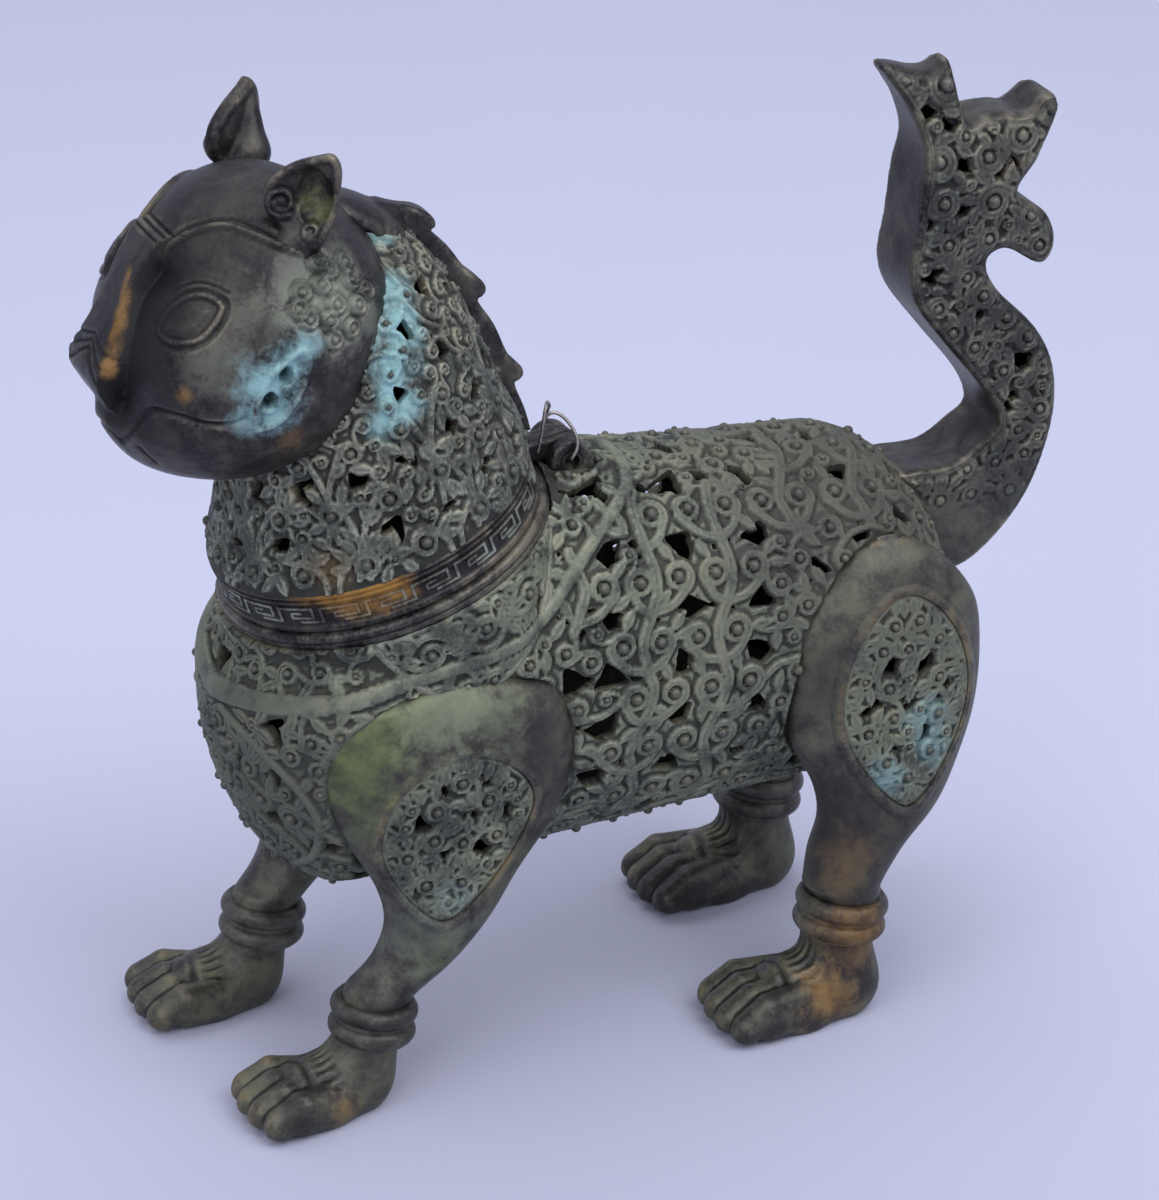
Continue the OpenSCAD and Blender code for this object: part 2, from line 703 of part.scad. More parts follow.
// Slices of the head as shares of its radius: height, forward shift, half length, half width
head_slices = [[-0.96, 0.1, 0.1, 0.1], [-0.92, 0.09, 0.4, 0.38], [-0.8, 0.09, 0.68, 0.64],
    [-0.56, 0.03, 0.9, 0.85], [-0.28, 0.01, 0.98, 0.96], [0, 0.01, 1, 1], [0.33, -0.06, 0.9, 0.95],
    [0.6, -0.08, 0.7, 0.77], [0.8, -0.08, 0.48, 0.54], [0.93, -0.08, 0.25, 0.28], [0.965, -0.08, 0.1, 0.1]];

function head_ring(s, grow, sides) = let (k = (head_r + grow) / head_r)
    [for (i = [0:sides - 1]) let (a = 360 * i / sides)
        head_r * [s[1] + k * s[2] * cos(a), k * s[3] * sin(a), k * s[0]]];

module head_outside(grow, sides = neck_sides) {
    translate([head_x, 0, head_z]) loft([for (s = run(head_slices, 2)) head_ring(s, grow, sides)]);
}

module nose() {
    translate([head_x, 0, head_z]) hull() {
        translate([nose_reach - 27, 0, 0.66 * head_r]) sphere(r = 5, $fn = 12);
        translate([nose_reach - 6, 0, -0.06 * head_r]) sphere(r = 6, $fn = 12);
        translate([nose_reach - 13, 0, -0.36 * head_r]) sphere(r = 6, $fn = 12);
        translate([0, 0, 0]) sphere(r = 10, $fn = 12);
    }
}

module head_shell() {
    color(dark) sculpt() difference() {
        union() {
            head_outside(0);
            nose();
        }
        head_outside(-lid_wall, lid_inner_sides);
        neck_inside();
    }
}

module ear(right) {
    tip = [head_x - 16, ear_spread, head_z + ear_rise];
    base = [head_x - 9, 0.62 * head_r, head_z + 0.7 * head_r];
    color(dark) sculpt() difference() {
        mirrored(right) difference() {
            hull() {
                translate(base) scale([1.15, 0.7, 1]) sphere(r = 10, $fn = 12);
                translate(mix(base, tip, 0.55)) scale([1, 0.6, 1]) sphere(r = 8, $fn = 12);
                translate(tip) translate([0, 0, -1]) sphere(r = 1, $fn = 12);
            }
            hull() {
                translate(base + [8, 4, 4]) sphere(r = 4.5, $fn = 12);
                translate(mix(base, tip, 0.6) + [7, 3, 0]) sphere(r = 4.5, $fn = 12);
            }
        }
        head_outside(0);
    }
}

// Line of the nape in the frame of the seam, from the collar up to the crown
crest_line = [for (s = run(neck_stations, 6)) [s[0] - s[2] * cos(s[3]), s[1] + s[2] * sin(s[3])]];
// Steps of that line at which the three hooked locks stand, and how a lock falls away above its tip
crest_locks = [7, 15, 23];
lock_fall = [1, 0.6, 0.3, 0.1];

function lock_height(i) = crest_lock * max([for (k = crest_locks)
    i >= k && i < k + len(lock_fall) ? lock_fall[i - k] : 0]);

module nape_crest() {
    last = len(crest_line) - 1;
    inner = [for (i = [1:last]) crest_line[i] + [4, -1]];
    outer = [for (i = [last:-1:1]) crest_line[i] + (2 + lock_height(i)) * [-1, 0.25]];
    color(dark) sculpt() difference() {
        mouth_frame() upright(-crest_t / 2, crest_t) polygon(concat(inner, outer));
        neck_outside();
        head_outside(0);
    }
}

// Tie wire: through the hollow pin, up both sides and over in one loop
wire_points = let (y = lug_out + 1.4, rest = pin_bore / 2 - wire_d / 2 - 0.3, top = wire_rise)
    [[3, -y + 0.6, top - 9], [1.6, -y, 7], [0, -y, rest + 0.4], [0, -y + 1.2, rest], [0, 0, rest],
    [0, y - 1.2, rest], [0, y, rest + 0.4], [1.6, y, 7], [4, y - 1.5, top - 5], [5, 3.5, top],
    [4.6, 0, top + 0.4], [3.6, -2.6, top - 1.5], [3.4, -4.6, top - 6]];

function unit(v) = v / norm(v);
function wire_ring(p, i) =
    let (t = unit(p[min(i + 1, len(p) - 1)] - p[max(i - 1, 0)]),
        side = unit(cross(t, [1, 0.02, 0.03])), up = cross(side, t))
    [for (k = [0:5]) p[i] + wire_d / 2 * (cos(60 * k) * side - sin(60 * k) * up)];

module tie_wire() {
    path = run(wire_points, 4);
    color("silver") hinge_frame() loft([for (i = [0:len(path) - 1]) wire_ring(path, i)]);
}

torso_shell();
neck_seat_ring();
ember_pan();
pan_rivet();
leg(false, false);  // front_left_leg
leg(false, true);  // front_right_leg
leg(true, false);  // hind_left_leg
leg(true, true);  // hind_right_leg
panel(false, false);  // front_left_panel
panel(false, true);  // front_right_panel
panel(true, false);  // hind_left_panel
panel(true, true);  // hind_right_panel
anklet(false, false);  // front_left_anklet
anklet(false, true);  // front_right_anklet
anklet(true, false);  // hind_left_anklet
anklet(true, true);  // hind_right_anklet
paw(false, false);  // front_left_paw
paw(false, true);  // front_right_paw
paw(true, false);  // hind_left_paw
paw(true, true);  // hind_right_paw
tail_frame();
tail_fret(false);  // tail_fret_left
tail_fret(true);  // tail_fret_right
hinge_lug(false);  // hinge_lug_left
hinge_lug(true);  // hinge_lug_right
hinge_pin();
hinge_knuckle();
neck_collar();
neck_shell();
head_shell();
ear(false);  // left_ear
ear(true);  // right_ear
nape_crest();
tie_wire();
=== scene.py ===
import itertools
import json
import math

import bpy
import numpy as np
from bpy.props import FloatProperty, FloatVectorProperty, IntProperty, PointerProperty
from mathutils import Matrix, Vector

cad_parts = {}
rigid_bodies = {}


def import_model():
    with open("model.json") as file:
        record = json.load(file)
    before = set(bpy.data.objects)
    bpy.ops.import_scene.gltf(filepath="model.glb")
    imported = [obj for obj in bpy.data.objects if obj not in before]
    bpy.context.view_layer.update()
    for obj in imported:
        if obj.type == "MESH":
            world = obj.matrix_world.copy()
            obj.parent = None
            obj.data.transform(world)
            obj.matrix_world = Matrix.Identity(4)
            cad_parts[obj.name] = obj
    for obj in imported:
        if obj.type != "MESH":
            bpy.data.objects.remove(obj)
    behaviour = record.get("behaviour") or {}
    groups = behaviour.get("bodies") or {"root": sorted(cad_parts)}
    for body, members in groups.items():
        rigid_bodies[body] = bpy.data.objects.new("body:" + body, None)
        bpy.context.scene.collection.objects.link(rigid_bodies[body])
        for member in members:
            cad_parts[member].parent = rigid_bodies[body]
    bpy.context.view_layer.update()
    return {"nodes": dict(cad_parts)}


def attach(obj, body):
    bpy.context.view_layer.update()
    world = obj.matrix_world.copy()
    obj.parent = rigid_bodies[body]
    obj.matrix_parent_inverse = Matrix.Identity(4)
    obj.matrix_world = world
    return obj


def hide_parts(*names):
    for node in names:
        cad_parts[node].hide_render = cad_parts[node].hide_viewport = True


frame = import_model()

bl_info = {
    "name": "Lion incense burner",
    "version": (1, 0, 0),
    "blender": (4, 5, 0),
    "location": "View3D > Sidebar > Burner",
    "description": "Dresses the frame of a pierced bronze lion incense burner",
    "category": "Object",
}

MM = 0.001

# Shapes of the frame, in millimetres: +X to the nose, +Y to the left side, +Z up.
RUMP, CHEST = -121.0, 118.0
RUMP_ROUND, BREAST_ROUND = 40.0, 35.0
MOUTH = np.array([63.5, 0.0, 170.7])
TILT = math.radians(18)
COLLAR_R, SEAT_LOW = 50.5, -5.15
NECK_BASE = np.array([(-48, 43.5), (-30, 50.5), (-14, 51.7), (0, 50.5), (2, 50.5)])
NECK = [(0, 13.15, 50, 0), (-4, 27.15, 46.5, 1), (-7, 44.15, 43, 4), (-8, 62.15, 40, 10),
        (-7, 79.15, 35, 20), (-1, 95.15, 20.5, 34)]
HEAD = np.array([106.5, 0.0, 248.0])
HEAD_R = 46.0
HEAD_SLICES = [(-.96, .1, .1, .1), (-.92, .09, .4, .38), (-.8, .09, .68, .64), (-.56, .03, .9, .85),
               (-.28, .01, .98, .96), (0, .01, 1, 1), (.33, -.06, .9, .95), (.6, -.08, .7, .77),
               (.82, -.08, .48, .54), (.96, -.08, .25, .28), (1, -.08, .1, .1)]
HINGE = np.array([4.7106, 0.0, 187.4886])
LUG_IN, LUG_OUT, LUG_R = 5.2, 9.8, 6.7
ANKLE_LEAN = math.radians(8)
ANKLET_H = 13.0
FRONT_ANKLE, HIND_ANKLE = np.array([83.5, 36.0, 21.0]), np.array([-71.5, 43.0, 27.0])
FRONT_STEP, HIND_STEP = 9.0, -12.0

# Heights of the back and of the belly and half width of the flanks, each from rump to breast.
BACK, BELLY, FLANK = (175.5, 189), (70, 64.5), (46, 51)
SIDE_POWER, BACK_POWER = .88, .94

# Lines of the left side: the strap round the base of the neck, and the border of the breast.
STRAP = np.array([(117.6, 0, 131), (112.6, 26.5, 136.3), (95, 46.7, 141.1), (76.9, 48.9, 145),
                  (58.6, 50.9, 148.8), (37.9, 47.2, 151.3), (26.8, 42.6, 156.9), (20, 39.6, 162.5),
                  (9.1, 33.3, 170.9), (-1.2, 26.1, 176.8), (-8.6, 19.2, 180.4), (-12, 9.3, 183.3),
                  (-12.2, 0, 184.2)])
BREAST = np.array([(117, 8, 127), (112, 24, 122), (105.5, 37, 112), (100, 40, 100), (99, 33, 86),
                   (101, 20, 77)])

# Panels of the front and hind legs: middle, half width, height above it and below it, lean.
PANELS = {False: (59.5, 99, 24, 21, 34, 6), True: (-89, 108.5, 22, 34, 36, 0)}


def leg_stations(hind):
    """Stations of a leg: middle forward, middle sideways, height, half length, half width."""
    if hind:
        x, y, top, size = -86.0, 43.0, 157.5, 32.0
        return [(x - 2, y - 4, top, 4, 2), (x - 2, y - 3, top - 7, .52 * size, 7),
                (x - 1, y - 1, top - 22, .9 * size, 10.5), (x, y, top - 40, size, 11.5),
                (x + 1, y, top - 60, .98 * size, 12), (x, y + .5, top - 77, .76 * size, 12.5),
                (x + 2, y + .5, 68, 20, 12.5), (x + 9, y + .5, 56, 16, 12.2), (-72.5, 43, 44, 12.4, 12.2)]
    x, y, top, size = 58.5, 40.0, 142.0, 41.0
    return [(x, y + 8, top, 4, 3), (x + 1, y + 6, top - 6, .72 * size, 8),
            (x + .5, y + 3.5, top - 20, .95 * size, 12), (x, y + 2, top - 37, .95 * size, 13.4),
            (x - 1, y + 1, top - 53, .8 * size, 12.8), (x + 1, y + 1, top - 68, .56 * size, 13),
            (x + 4, y, 60, 16.8, 13), (x + 11, y - 2, 47, 13.2, 12), (79.5, 36, 37, 11, 11)]


# Numbers and curves

def mix(a, b, t):
    return a + (b - a) * t


def ease(t):
    u = np.clip(t, 0, 1)
    return u * u * (3 - 2 * u)


def unit(v):
    return v / np.maximum(np.linalg.norm(v, axis=-1, keepdims=True), 1e-9)


def rounded(v, power):
    return np.sign(v) * np.abs(v) ** power


def run(points, steps, closed=False):
    """Smooth curve through points, with so many steps between neighbours."""
    p = np.asarray(points, float)
    last = len(p) - 1
    t = (np.arange(steps) / steps)[:, None]
    out = []
    for i in range(len(p) if closed else last):
        k = [i - 1, i, i + 1, i + 2]
        a, b, c, d = (p[j % len(p)] if closed else p[min(max(j, 0), last)] for j in k)
        out.append(.5 * (2 * b + (c - a) * t + (2 * a - 5 * b + 4 * c - d) * t ** 2
                         + (3 * (b - c) + d - a) * t ** 3))
    return np.vstack(out if closed else out + [p[-1:]])


def lengths(line):
    """How far along a line each of its points lies."""
    return np.r_[0, np.cumsum(np.linalg.norm(np.diff(line, axis=0), axis=1))]


def read_at(at, places, table):
    """Rows of a table read at places between those of its own rows."""
    return np.stack([np.interp(at, places, column) for column in table.T], -1)


def resample(line, gap):
    """The same line with points at equal distances."""
    line = np.asarray(line, float)
    far = lengths(line)
    return read_at(np.linspace(0, far[-1], max(2, int(far[-1] / gap) + 1)), far, line)


def look_up(table, i, k):
    """Values of a table between its grid points."""
    a, b = i.astype(int), k.astype(int)
    u, v = i - a, k - b
    return (table[a, b] * (1 - u) * (1 - v) + table[a + 1, b] * u * (1 - v)
            + table[a, b + 1] * (1 - u) * v + table[a + 1, b + 1] * u * v)


def bump(t):
    """1 at the middle, 0 from t = 1 on."""
    return np.clip(1 - t * t, 0, None)


def outline_gap(x, z, line):
    """Distance to a closed outline, negative inside."""
    a, b = line, np.roll(line, -1, axis=0)
    best = np.full(np.shape(x), 1e9)
    inside = np.zeros(np.shape(x), bool)
    for (ax, az), (bx, bz) in zip(a, b):
        ex, ez = bx - ax, bz - az
        wx, wz = x - ax, z - az
        t = np.clip((wx * ex + wz * ez) / max(ex * ex + ez * ez, 1e-12), 0, 1)
        best = np.minimum(best, (wx - ex * t) ** 2 + (wz - ez * t) ** 2)
        if az != bz:
            inside ^= ((az > z) != (bz > z)) & (x < (bx - ax) * (z - az) / (bz - az) + ax)
    return np.where(inside, -1, 1) * np.sqrt(best)


def from_hinge(p):
    """From the frame of the hinge, tilted as the seam is, to the frame of the burner."""
    c, s = math.cos(TILT), math.sin(TILT)
    return HINGE + np.stack([p[:, 0] * c + p[:, 2] * s, p[:, 1], -p[:, 0] * s + p[:, 2] * c], -1)


def from_mouth(p):
    """From the frame of the seam between body and lid to the frame of the burner."""
    c, s = math.cos(TILT), math.sin(TILT)
    x, y, z = p[..., 0], p[..., 1], p[..., 2]
    return np.stack([MOUTH[0] + x * c + z * s, y, MOUTH[2] - x * s + z * c], -1)


def to_mouth(p):
    """From the frame of the burner to the frame of the seam."""
    c, s = math.cos(TILT), math.sin(TILT)
    x, z = p[..., 0] - MOUTH[0], p[..., 2] - MOUTH[2]
    return np.stack([x * c - z * s, p[..., 1], x * s + z * c], -1)


# Main forms

def body_section(x):
    """Half width, half height and middle height of the body at x."""
    s = (x - RUMP) / (CHEST - RUMP)
    rise = ease(1.3 * s)
    top, low = mix(*BACK, rise), mix(*BELLY, rise)
    wide = mix(*FLANK, ease(1.9 * s - .75))
    d = np.minimum((x - RUMP) / RUMP_ROUND, (CHEST - x) / BREAST_ROUND)
    e = np.sqrt(np.clip(1 - (1 - np.clip(d, 0, 1)) ** 2, 0, 1))
    return e * wide, e * (top - low) / 2, (top + low) / 2


def body_point(x, a):
    """Point of the body's skin at x, turned by an angle about the long axis."""
    wide, tall, mid = body_section(x)
    return np.stack([x + 0 * a, wide * rounded(np.cos(a), SIDE_POWER),
                     mid + tall * rounded(np.sin(a), BACK_POWER)], -1)


def body_gap(p):
    """Distance outside the body's skin, roughly."""
    x = np.clip(p[..., 0], RUMP + .3, CHEST - .3)
    wide, tall, mid = body_section(x)
    dy, dz = p[..., 1], p[..., 2] - mid
    k = ((np.abs(dy) / wide) ** (2 / SIDE_POWER) + (np.abs(dz) / tall) ** (2 / BACK_POWER)) ** .455
    k = np.maximum(k, 1e-3)
    return (1 - 1 / k) * np.hypot(dy, dz) + np.maximum(0, np.abs(p[..., 0] - x) - .3)


def base_gap(p):
    """Distance outside the neck's base, or outside the open mouth above it."""
    q = to_mouth(p)
    r, z = np.hypot(q[..., 0], q[..., 1]), q[..., 2]
    wide = np.where(z > SEAT_LOW, COLLAR_R + 3, np.interp(z, NECK_BASE[:, 0], NECK_BASE[:, 1]))
    return np.where(z < NECK_BASE[0, 0], 30, r - wide)


def leg_table(hind):
    s = run(leg_stations(hind), 8)
    return s[np.argsort(s[:, 2])]


LEG_TABLES = {False: leg_table(False), True: leg_table(True)}


def leg_shape(z, hind):
    """Middle forward and sideways, half length and half width of a left leg at a height."""
    t = LEG_TABLES[hind]
    return [np.interp(z, t[:, 2], t[:, k]) for k in (0, 1, 3, 4)]


def leg_gap(p, hind, right):
    """Distance outside a leg, roughly."""
    step = (HIND_STEP if hind else FRONT_STEP) if right else 0
    cx, cy, half, deep = leg_shape(p[..., 2], hind)
    dx, dy = p[..., 0] - step - cx, p[..., 1] * (-1 if right else 1) - cy
    k = np.maximum(np.hypot(dx / half, dy / deep), 1e-3)
    top = LEG_TABLES[hind][-1, 2]
    return np.maximum((1 - 1 / k) * np.hypot(dx, dy), p[..., 2] - top)


def panel_outline(hind):
    """Egg-shaped outline of a leg's panel, seen from the side."""
    cx, cz, wide, up, down, lean = PANELS[hind]
    a = np.linspace(0, 2 * math.pi, 64, endpoint=False)
    s = np.sin(a)
    pinch = np.where(s > 0, .16, .44)
    return np.stack([cx + wide * np.cos(a) * (1 - pinch * s * s) + lean * np.maximum(0, -s),
                     cz + np.where(s > 0, up, down) * s], -1)


# Meshes

def edge_wear_highlight_and_shade(points, faces, rounds=2):
    """How far each vertex stands proud of its neighbours: positive on ridges, negative in hollows."""
    n = len(points)
    a = faces.ravel()
    b = np.roll(faces, -1, axis=1).ravel()
    count = np.maximum(np.bincount(a, minlength=n) + np.bincount(b, minlength=n), 1)

    def around(v):
        total = np.bincount(a, v[b], minlength=n) + np.bincount(b, v[a], minlength=n)
        return total / count

    mean = np.stack([around(points[:, k]) for k in range(3)], -1)
    length = np.bincount(a, np.linalg.norm(points[a] - points[b], axis=1), minlength=n)
    size = np.maximum(length / np.maximum(np.bincount(a, minlength=n), 1), 1e-6)
    cross = np.cross(points[faces[:, 2]] - points[faces[:, 0]], points[faces[:, 3]] - points[faces[:, 1]])
    normal = np.stack([sum(np.bincount(faces[:, c], cross[:, k], minlength=n) for c in range(4))
                       for k in range(3)], -1)
    proud = ((points - mean) * unit(normal)).sum(1) / size
    for _ in range(rounds):
        proud = .5 * proud + .5 * around(proud)
    return np.clip(proud * 6, -1, 1)


def make_piece(name, points, faces, material, body, replaced=(), slot=None, flip=False, angle=48, **values):
    """One closed piece of the burner from points in millimetres and four-sided faces."""
    points = np.asarray(points, float)
    faces = np.asarray(faces, int)
    if flip:
        faces = faces[:, ::-1]
    used = np.unique(faces)
    place = np.full(len(points), -1)
    place[used] = np.arange(len(used))
    points, faces = points[used], place[faces]
    values = {k: np.asarray(v)[used] for k, v in values.items()}
    # Ridges and hollows: rubbed wear and painted highlight on the ridges, painted shade in the hollows.
    values["wear_highlight_and_shade"] = edge_wear_highlight_and_shade(points, faces)
    mesh = bpy.data.meshes.new(name)
    mesh.vertices.add(len(points))
    mesh.vertices.foreach_set("co", (points * MM).astype(np.float32).ravel())
    mesh.loops.add(faces.size)
    mesh.loops.foreach_set("vertex_index", faces.astype(np.int32).ravel())
    mesh.polygons.add(len(faces))
    mesh.polygons.foreach_set("loop_start", np.arange(0, faces.size, 4, dtype=np.int32))
    mesh.polygons.foreach_set("use_smooth", np.ones(len(faces), bool))
    for key, value in values.items():
        layer = mesh.attributes.new(key, "FLOAT", "POINT")
        layer.data.foreach_set("value", np.asarray(value, np.float32))
    mesh.update(calc_edges=True)
    mesh.validate()
    mesh.set_sharp_from_angle(angle=math.radians(angle))
    mesh.materials.append(material)
    return add_piece(name, mesh, body, replaced)


def add_piece(name, mesh, body, replaced=()):
    """A mesh set into the scene as a piece that rides on a body."""
    piece = bpy.data.objects.new(name, mesh)
    bpy.context.scene.collection.objects.link(piece)
    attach(piece, body)
    if replaced:
        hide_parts(*replaced)
    return piece


def shifted(field, di, dj, wrap, fill):
    """The field as seen from a neighbour of each grid point."""
    out = np.roll(np.roll(field, -di, axis=0), -dj, axis=1)
    if di:
        out[-1 if di > 0 else 0, :] = fill
    if dj and not wrap:
        out[:, -1 if dj > 0 else 0] = fill
    return out


class Sheet:
    """A wall over a grid of points, pierced and raised, closed all round."""

    def __init__(self, points, wrap):
        self.points, self.wrap = points, wrap
        if wrap:
            across = np.roll(points, -1, axis=1) - np.roll(points, 1, axis=1)
        else:
            across = np.gradient(points, axis=1)
        self.normals = unit(np.cross(np.gradient(points, axis=0), across))

    def face_outwards(self, outward):
        """Turns the normals the way of the given directions, and tells whether the faces need a flip."""
        if np.sum(self.normals * outward) < 0:
            self.normals = -self.normals
            return True
        return False

    def solid(self, high, keep, thick, parts=None, pit=None):
        """Points, faces and shade of each part of the pierced wall; parts gives the rows of each."""
        n, m = keep.shape
        ids = np.arange(n * m).reshape(n, m)
        best = np.full((n, m), -1e9)
        pick = ids.copy()
        for di, dj in itertools.product((-1, 0, 1), repeat=2):
            if di or dj:
                other = shifted(keep, di, dj, self.wrap, -1e9)
                far = shifted(ids, di, dj, self.wrap, 0)
                pick = np.where(other > best, far, pick)
                best = np.maximum(best, other)
        pulled = (keep < 0) & (best > 0)
        t = np.where(pulled, np.clip(-keep / np.maximum(best - keep, 1e-9), 0, .88), 0)
        flat = self.points.reshape(-1, 3)
        point = flat + t.ravel()[:, None] * (flat[pick.ravel()] - flat)
        up = high.ravel() + t.ravel() * (high.ravel()[pick.ravel()] - high.ravel())
        normal = self.normals.reshape(-1, 3)
        held = (keep >= 0) | pulled
        cols = m if self.wrap else m - 1
        a = ids[:-1, :cols]
        b = ids[1:, :cols]
        c = np.roll(ids, -1, axis=1)[1:, :cols]
        d = np.roll(ids, -1, axis=1)[:-1, :cols]
        ok = held.ravel()
        true = (keep >= 0).ravel()
        quad = ok[a] & ok[b] & ok[c] & ok[d] & (true[a] | true[b] | true[c] | true[d])
        quad = self.no_pinches(self.no_islands(self.no_pinches(quad)))
        out = []
        outer = point + normal * up[:, None]
        inner = point - normal * thick
        # Painted shade: the sunk ground as the carving gives it, and the inner side of the wall at .9.
        shade = np.zeros(2 * n * m) if pit is None else np.r_[pit.ravel(), np.full(n * m, .9)]
        for lo, hi in parts or [(0, n - 1)]:
            mask = np.zeros_like(quad)
            mask[lo:hi] = quad[lo:hi]
            f = np.stack([a[mask], b[mask], c[mask], d[mask]], -1)
            if not len(f):
                continue
            e0, e1 = f.ravel(), np.roll(f, -1, axis=1).ravel()
            off = n * m
            rim = ~np.isin(e0 * off + e1, e1 * off + e0)
            wall = np.stack([e0[rim], e0[rim] + off, e1[rim] + off, e1[rim]], -1)
            faces = np.vstack([f, f[:, ::-1] + off, wall])
            out.append((np.vstack([outer, inner]), faces, shade))
        return out

    def no_islands(self, quad, least=.03):
        """Drops parts that hang on nothing: all but those that hold a fair share of the faces."""
        n, m = quad.shape
        left = quad.copy()
        kept = np.zeros_like(quad)
        total = quad.sum()
        for i, j in np.argwhere(quad):
            if not left[i, j]:
                continue
            left[i, j] = False
            found, todo = [], [(i, j)]
            while todo:
                r, c = todo.pop()
                found.append((r, c))
                for u, v in ((r - 1, c), (r + 1, c), (r, c - 1), (r, c + 1)):
                    v = v % m if self.wrap else v
                    if 0 <= u < n and 0 <= v < m and left[u, v]:
                        left[u, v] = False
                        todo.append((u, v))
            if len(found) > least * total:
                kept[tuple(np.array(found).T)] = True
        return kept

    def no_pinches(self, quad):
        """Drops faces that touch another only at a corner, until none is left."""
        for _ in range(6):
            q = quad
            down = np.zeros_like(q)
            down[:-1] = q[1:]
            if self.wrap:
                right, both = np.roll(q, -1, axis=1), np.roll(down, -1, axis=1)
            else:
                right, both = np.zeros_like(q), np.zeros_like(q)
                right[:, :-1], both[:, :-1] = q[:, 1:], down[:, 1:]
            one = q & both & ~down & ~right
            two = ~q & ~both & down & right
            two[-1] = False
            if not (one.any() or two.any()):
                break
            quad = q & ~one
            fix = np.zeros_like(q)
            fix[1:] = two[:-1]
            quad &= ~fix
        return quad


def grid_faces(n, m):
    """Faces of a grid of n rings with m points each."""
    ids = np.arange(n * m).reshape(n, m)
    nxt = np.roll(ids, -1, axis=1)
    return np.stack([ids[:-1], ids[1:], nxt[1:], nxt[:-1]], -1).reshape(-1, 4)


def fill_corners(f):
    """Fills grid points beside two that touch only across a corner, so that no edge is pinched."""
    for _ in range(6):
        found = False
        for axes in ((0, 1), (0, 2), (1, 2)):
            w = np.moveaxis(f, axes, (0, 1))
            a, b, c, d = w[:-1, :-1], w[1:, :-1], w[:-1, 1:], w[1:, 1:]
            bad = ((a < 0) == (d < 0)) & ((b < 0) == (c < 0)) & ((a < 0) != (b < 0))
            found = found or bad.any()
            for part in (a, b, c, d):
                part[bad & (part >= 0)] = -.05
        if not found:
            return


def nets(gap, low, high, step, calm=0):
    """Closed skin where a distance field is zero, the field calmed so many times first."""
    low = np.asarray(low, float)
    axes = [np.arange(a, b + step, step) for a, b in zip(low, high)]
    x, y, z = np.meshgrid(*axes, indexing="ij")
    f = gap(x, y, z)
    for _ in range(calm):
        g = np.pad(f, 1, mode="edge")
        f = (2 * f + g[:-2, 1:-1, 1:-1] + g[2:, 1:-1, 1:-1] + g[1:-1, :-2, 1:-1] + g[1:-1, 2:, 1:-1]
             + g[1:-1, 1:-1, :-2] + g[1:-1, 1:-1, 2:]) / 8
    fill_corners(f)
    inside = f < 0
    shape = np.array(f.shape) - 1
    total = np.zeros(tuple(shape) + (3,))
    count = np.zeros(tuple(shape))
    corner = list(itertools.product((0, 1), repeat=3))

    def at(field, c):
        return field[tuple(slice(k, k + s) for k, s in zip(c, shape))]

    for p in corner:
        for axis in range(3):
            if p[axis]:
                continue
            q = tuple(k + (i == axis) for i, k in enumerate(p))
            fa, fb = at(f, p), at(f, q)
            cut = at(inside, p) != at(inside, q)
            t = np.where(cut, fa / np.where(cut, fa - fb, 1), 0)
            for k in range(3):
                total[..., k] += np.where(cut, p[k] + (t if k == axis else 0), 0)
            count += cut
    live = count > 0
    number = np.full(tuple(shape), -1)
    number[live] = np.arange(live.sum())
    where = np.argwhere(live)
    points = low + step * (where + total[live] / count[live][:, None])
    faces = []
    for axis in range(3):
        u, v = (axis + 1) % 3, (axis + 2) % 3
        sl0 = [slice(1, -1)] * 3
        sl0[axis] = slice(0, -1)
        sl1 = list(sl0)
        sl1[axis] = slice(1, None)
        a, b = inside[tuple(sl0)], inside[tuple(sl1)]
        for sign in (True, False):
            cells = np.argwhere((a == sign) & (b != sign)) + [int(k != axis) for k in range(3)]
            if not len(cells):
                continue
            eu, ev = np.eye(3, dtype=int)[u], np.eye(3, dtype=int)[v]
            ring = [cells, cells - eu, cells - eu - ev, cells - ev]
            quad = np.stack([number[tuple(r.T)] for r in ring], -1)
            faces.append(quad if sign else quad[:, ::-1])
    return points, np.vstack(faces)


def lathe(profile, sides):
    """Points and faces of a closed ring turned about the Z axis."""
    profile = np.asarray(profile, float)
    a = np.linspace(0, 2 * math.pi, sides, endpoint=False)
    p = np.stack([profile[:, None, 0] * np.cos(a), profile[:, None, 0] * np.sin(a),
                  profile[:, None, 1] + 0 * a], -1)
    n = len(profile)
    ids = np.arange(n * sides).reshape(n, sides)
    nxt, up = np.roll(ids, -1, axis=1), np.roll(ids, -1, axis=0)
    upn = np.roll(nxt, -1, axis=0)
    return p.reshape(-1, 3), np.stack([ids, nxt, upn, up], -1).reshape(-1, 4)


def tube(line, radius):
    """Points and faces of a round wire along a line, with closed ends."""
    line = np.asarray(line, float)
    sides = 8
    t = unit(np.gradient(line, axis=0))
    side = np.cross(t[0], [.31, .2, .93])
    a = np.linspace(0, 2 * math.pi, sides, endpoint=False)
    rings = []
    for k in range(len(line)):
        side = unit(side - t[k] * np.dot(side, t[k]))
        up = np.cross(t[k], side)
        rings.append(line[k] + np.outer(np.cos(a), side) * radius + np.outer(np.sin(a), up) * radius)
    cap = np.array([(0, 1, 2, 3), (0, 3, 4, 7), (4, 5, 6, 7)])
    faces = np.vstack([grid_faces(len(line), sides)[:, ::-1], cap[:, ::-1],
                       cap + (len(line) - 1) * sides])
    return np.vstack(rings), faces


# Carved ornament

SEEDS = {"torso": 11, "frieze": 23, "panels": 31, "tail": 51, "neck": 71}


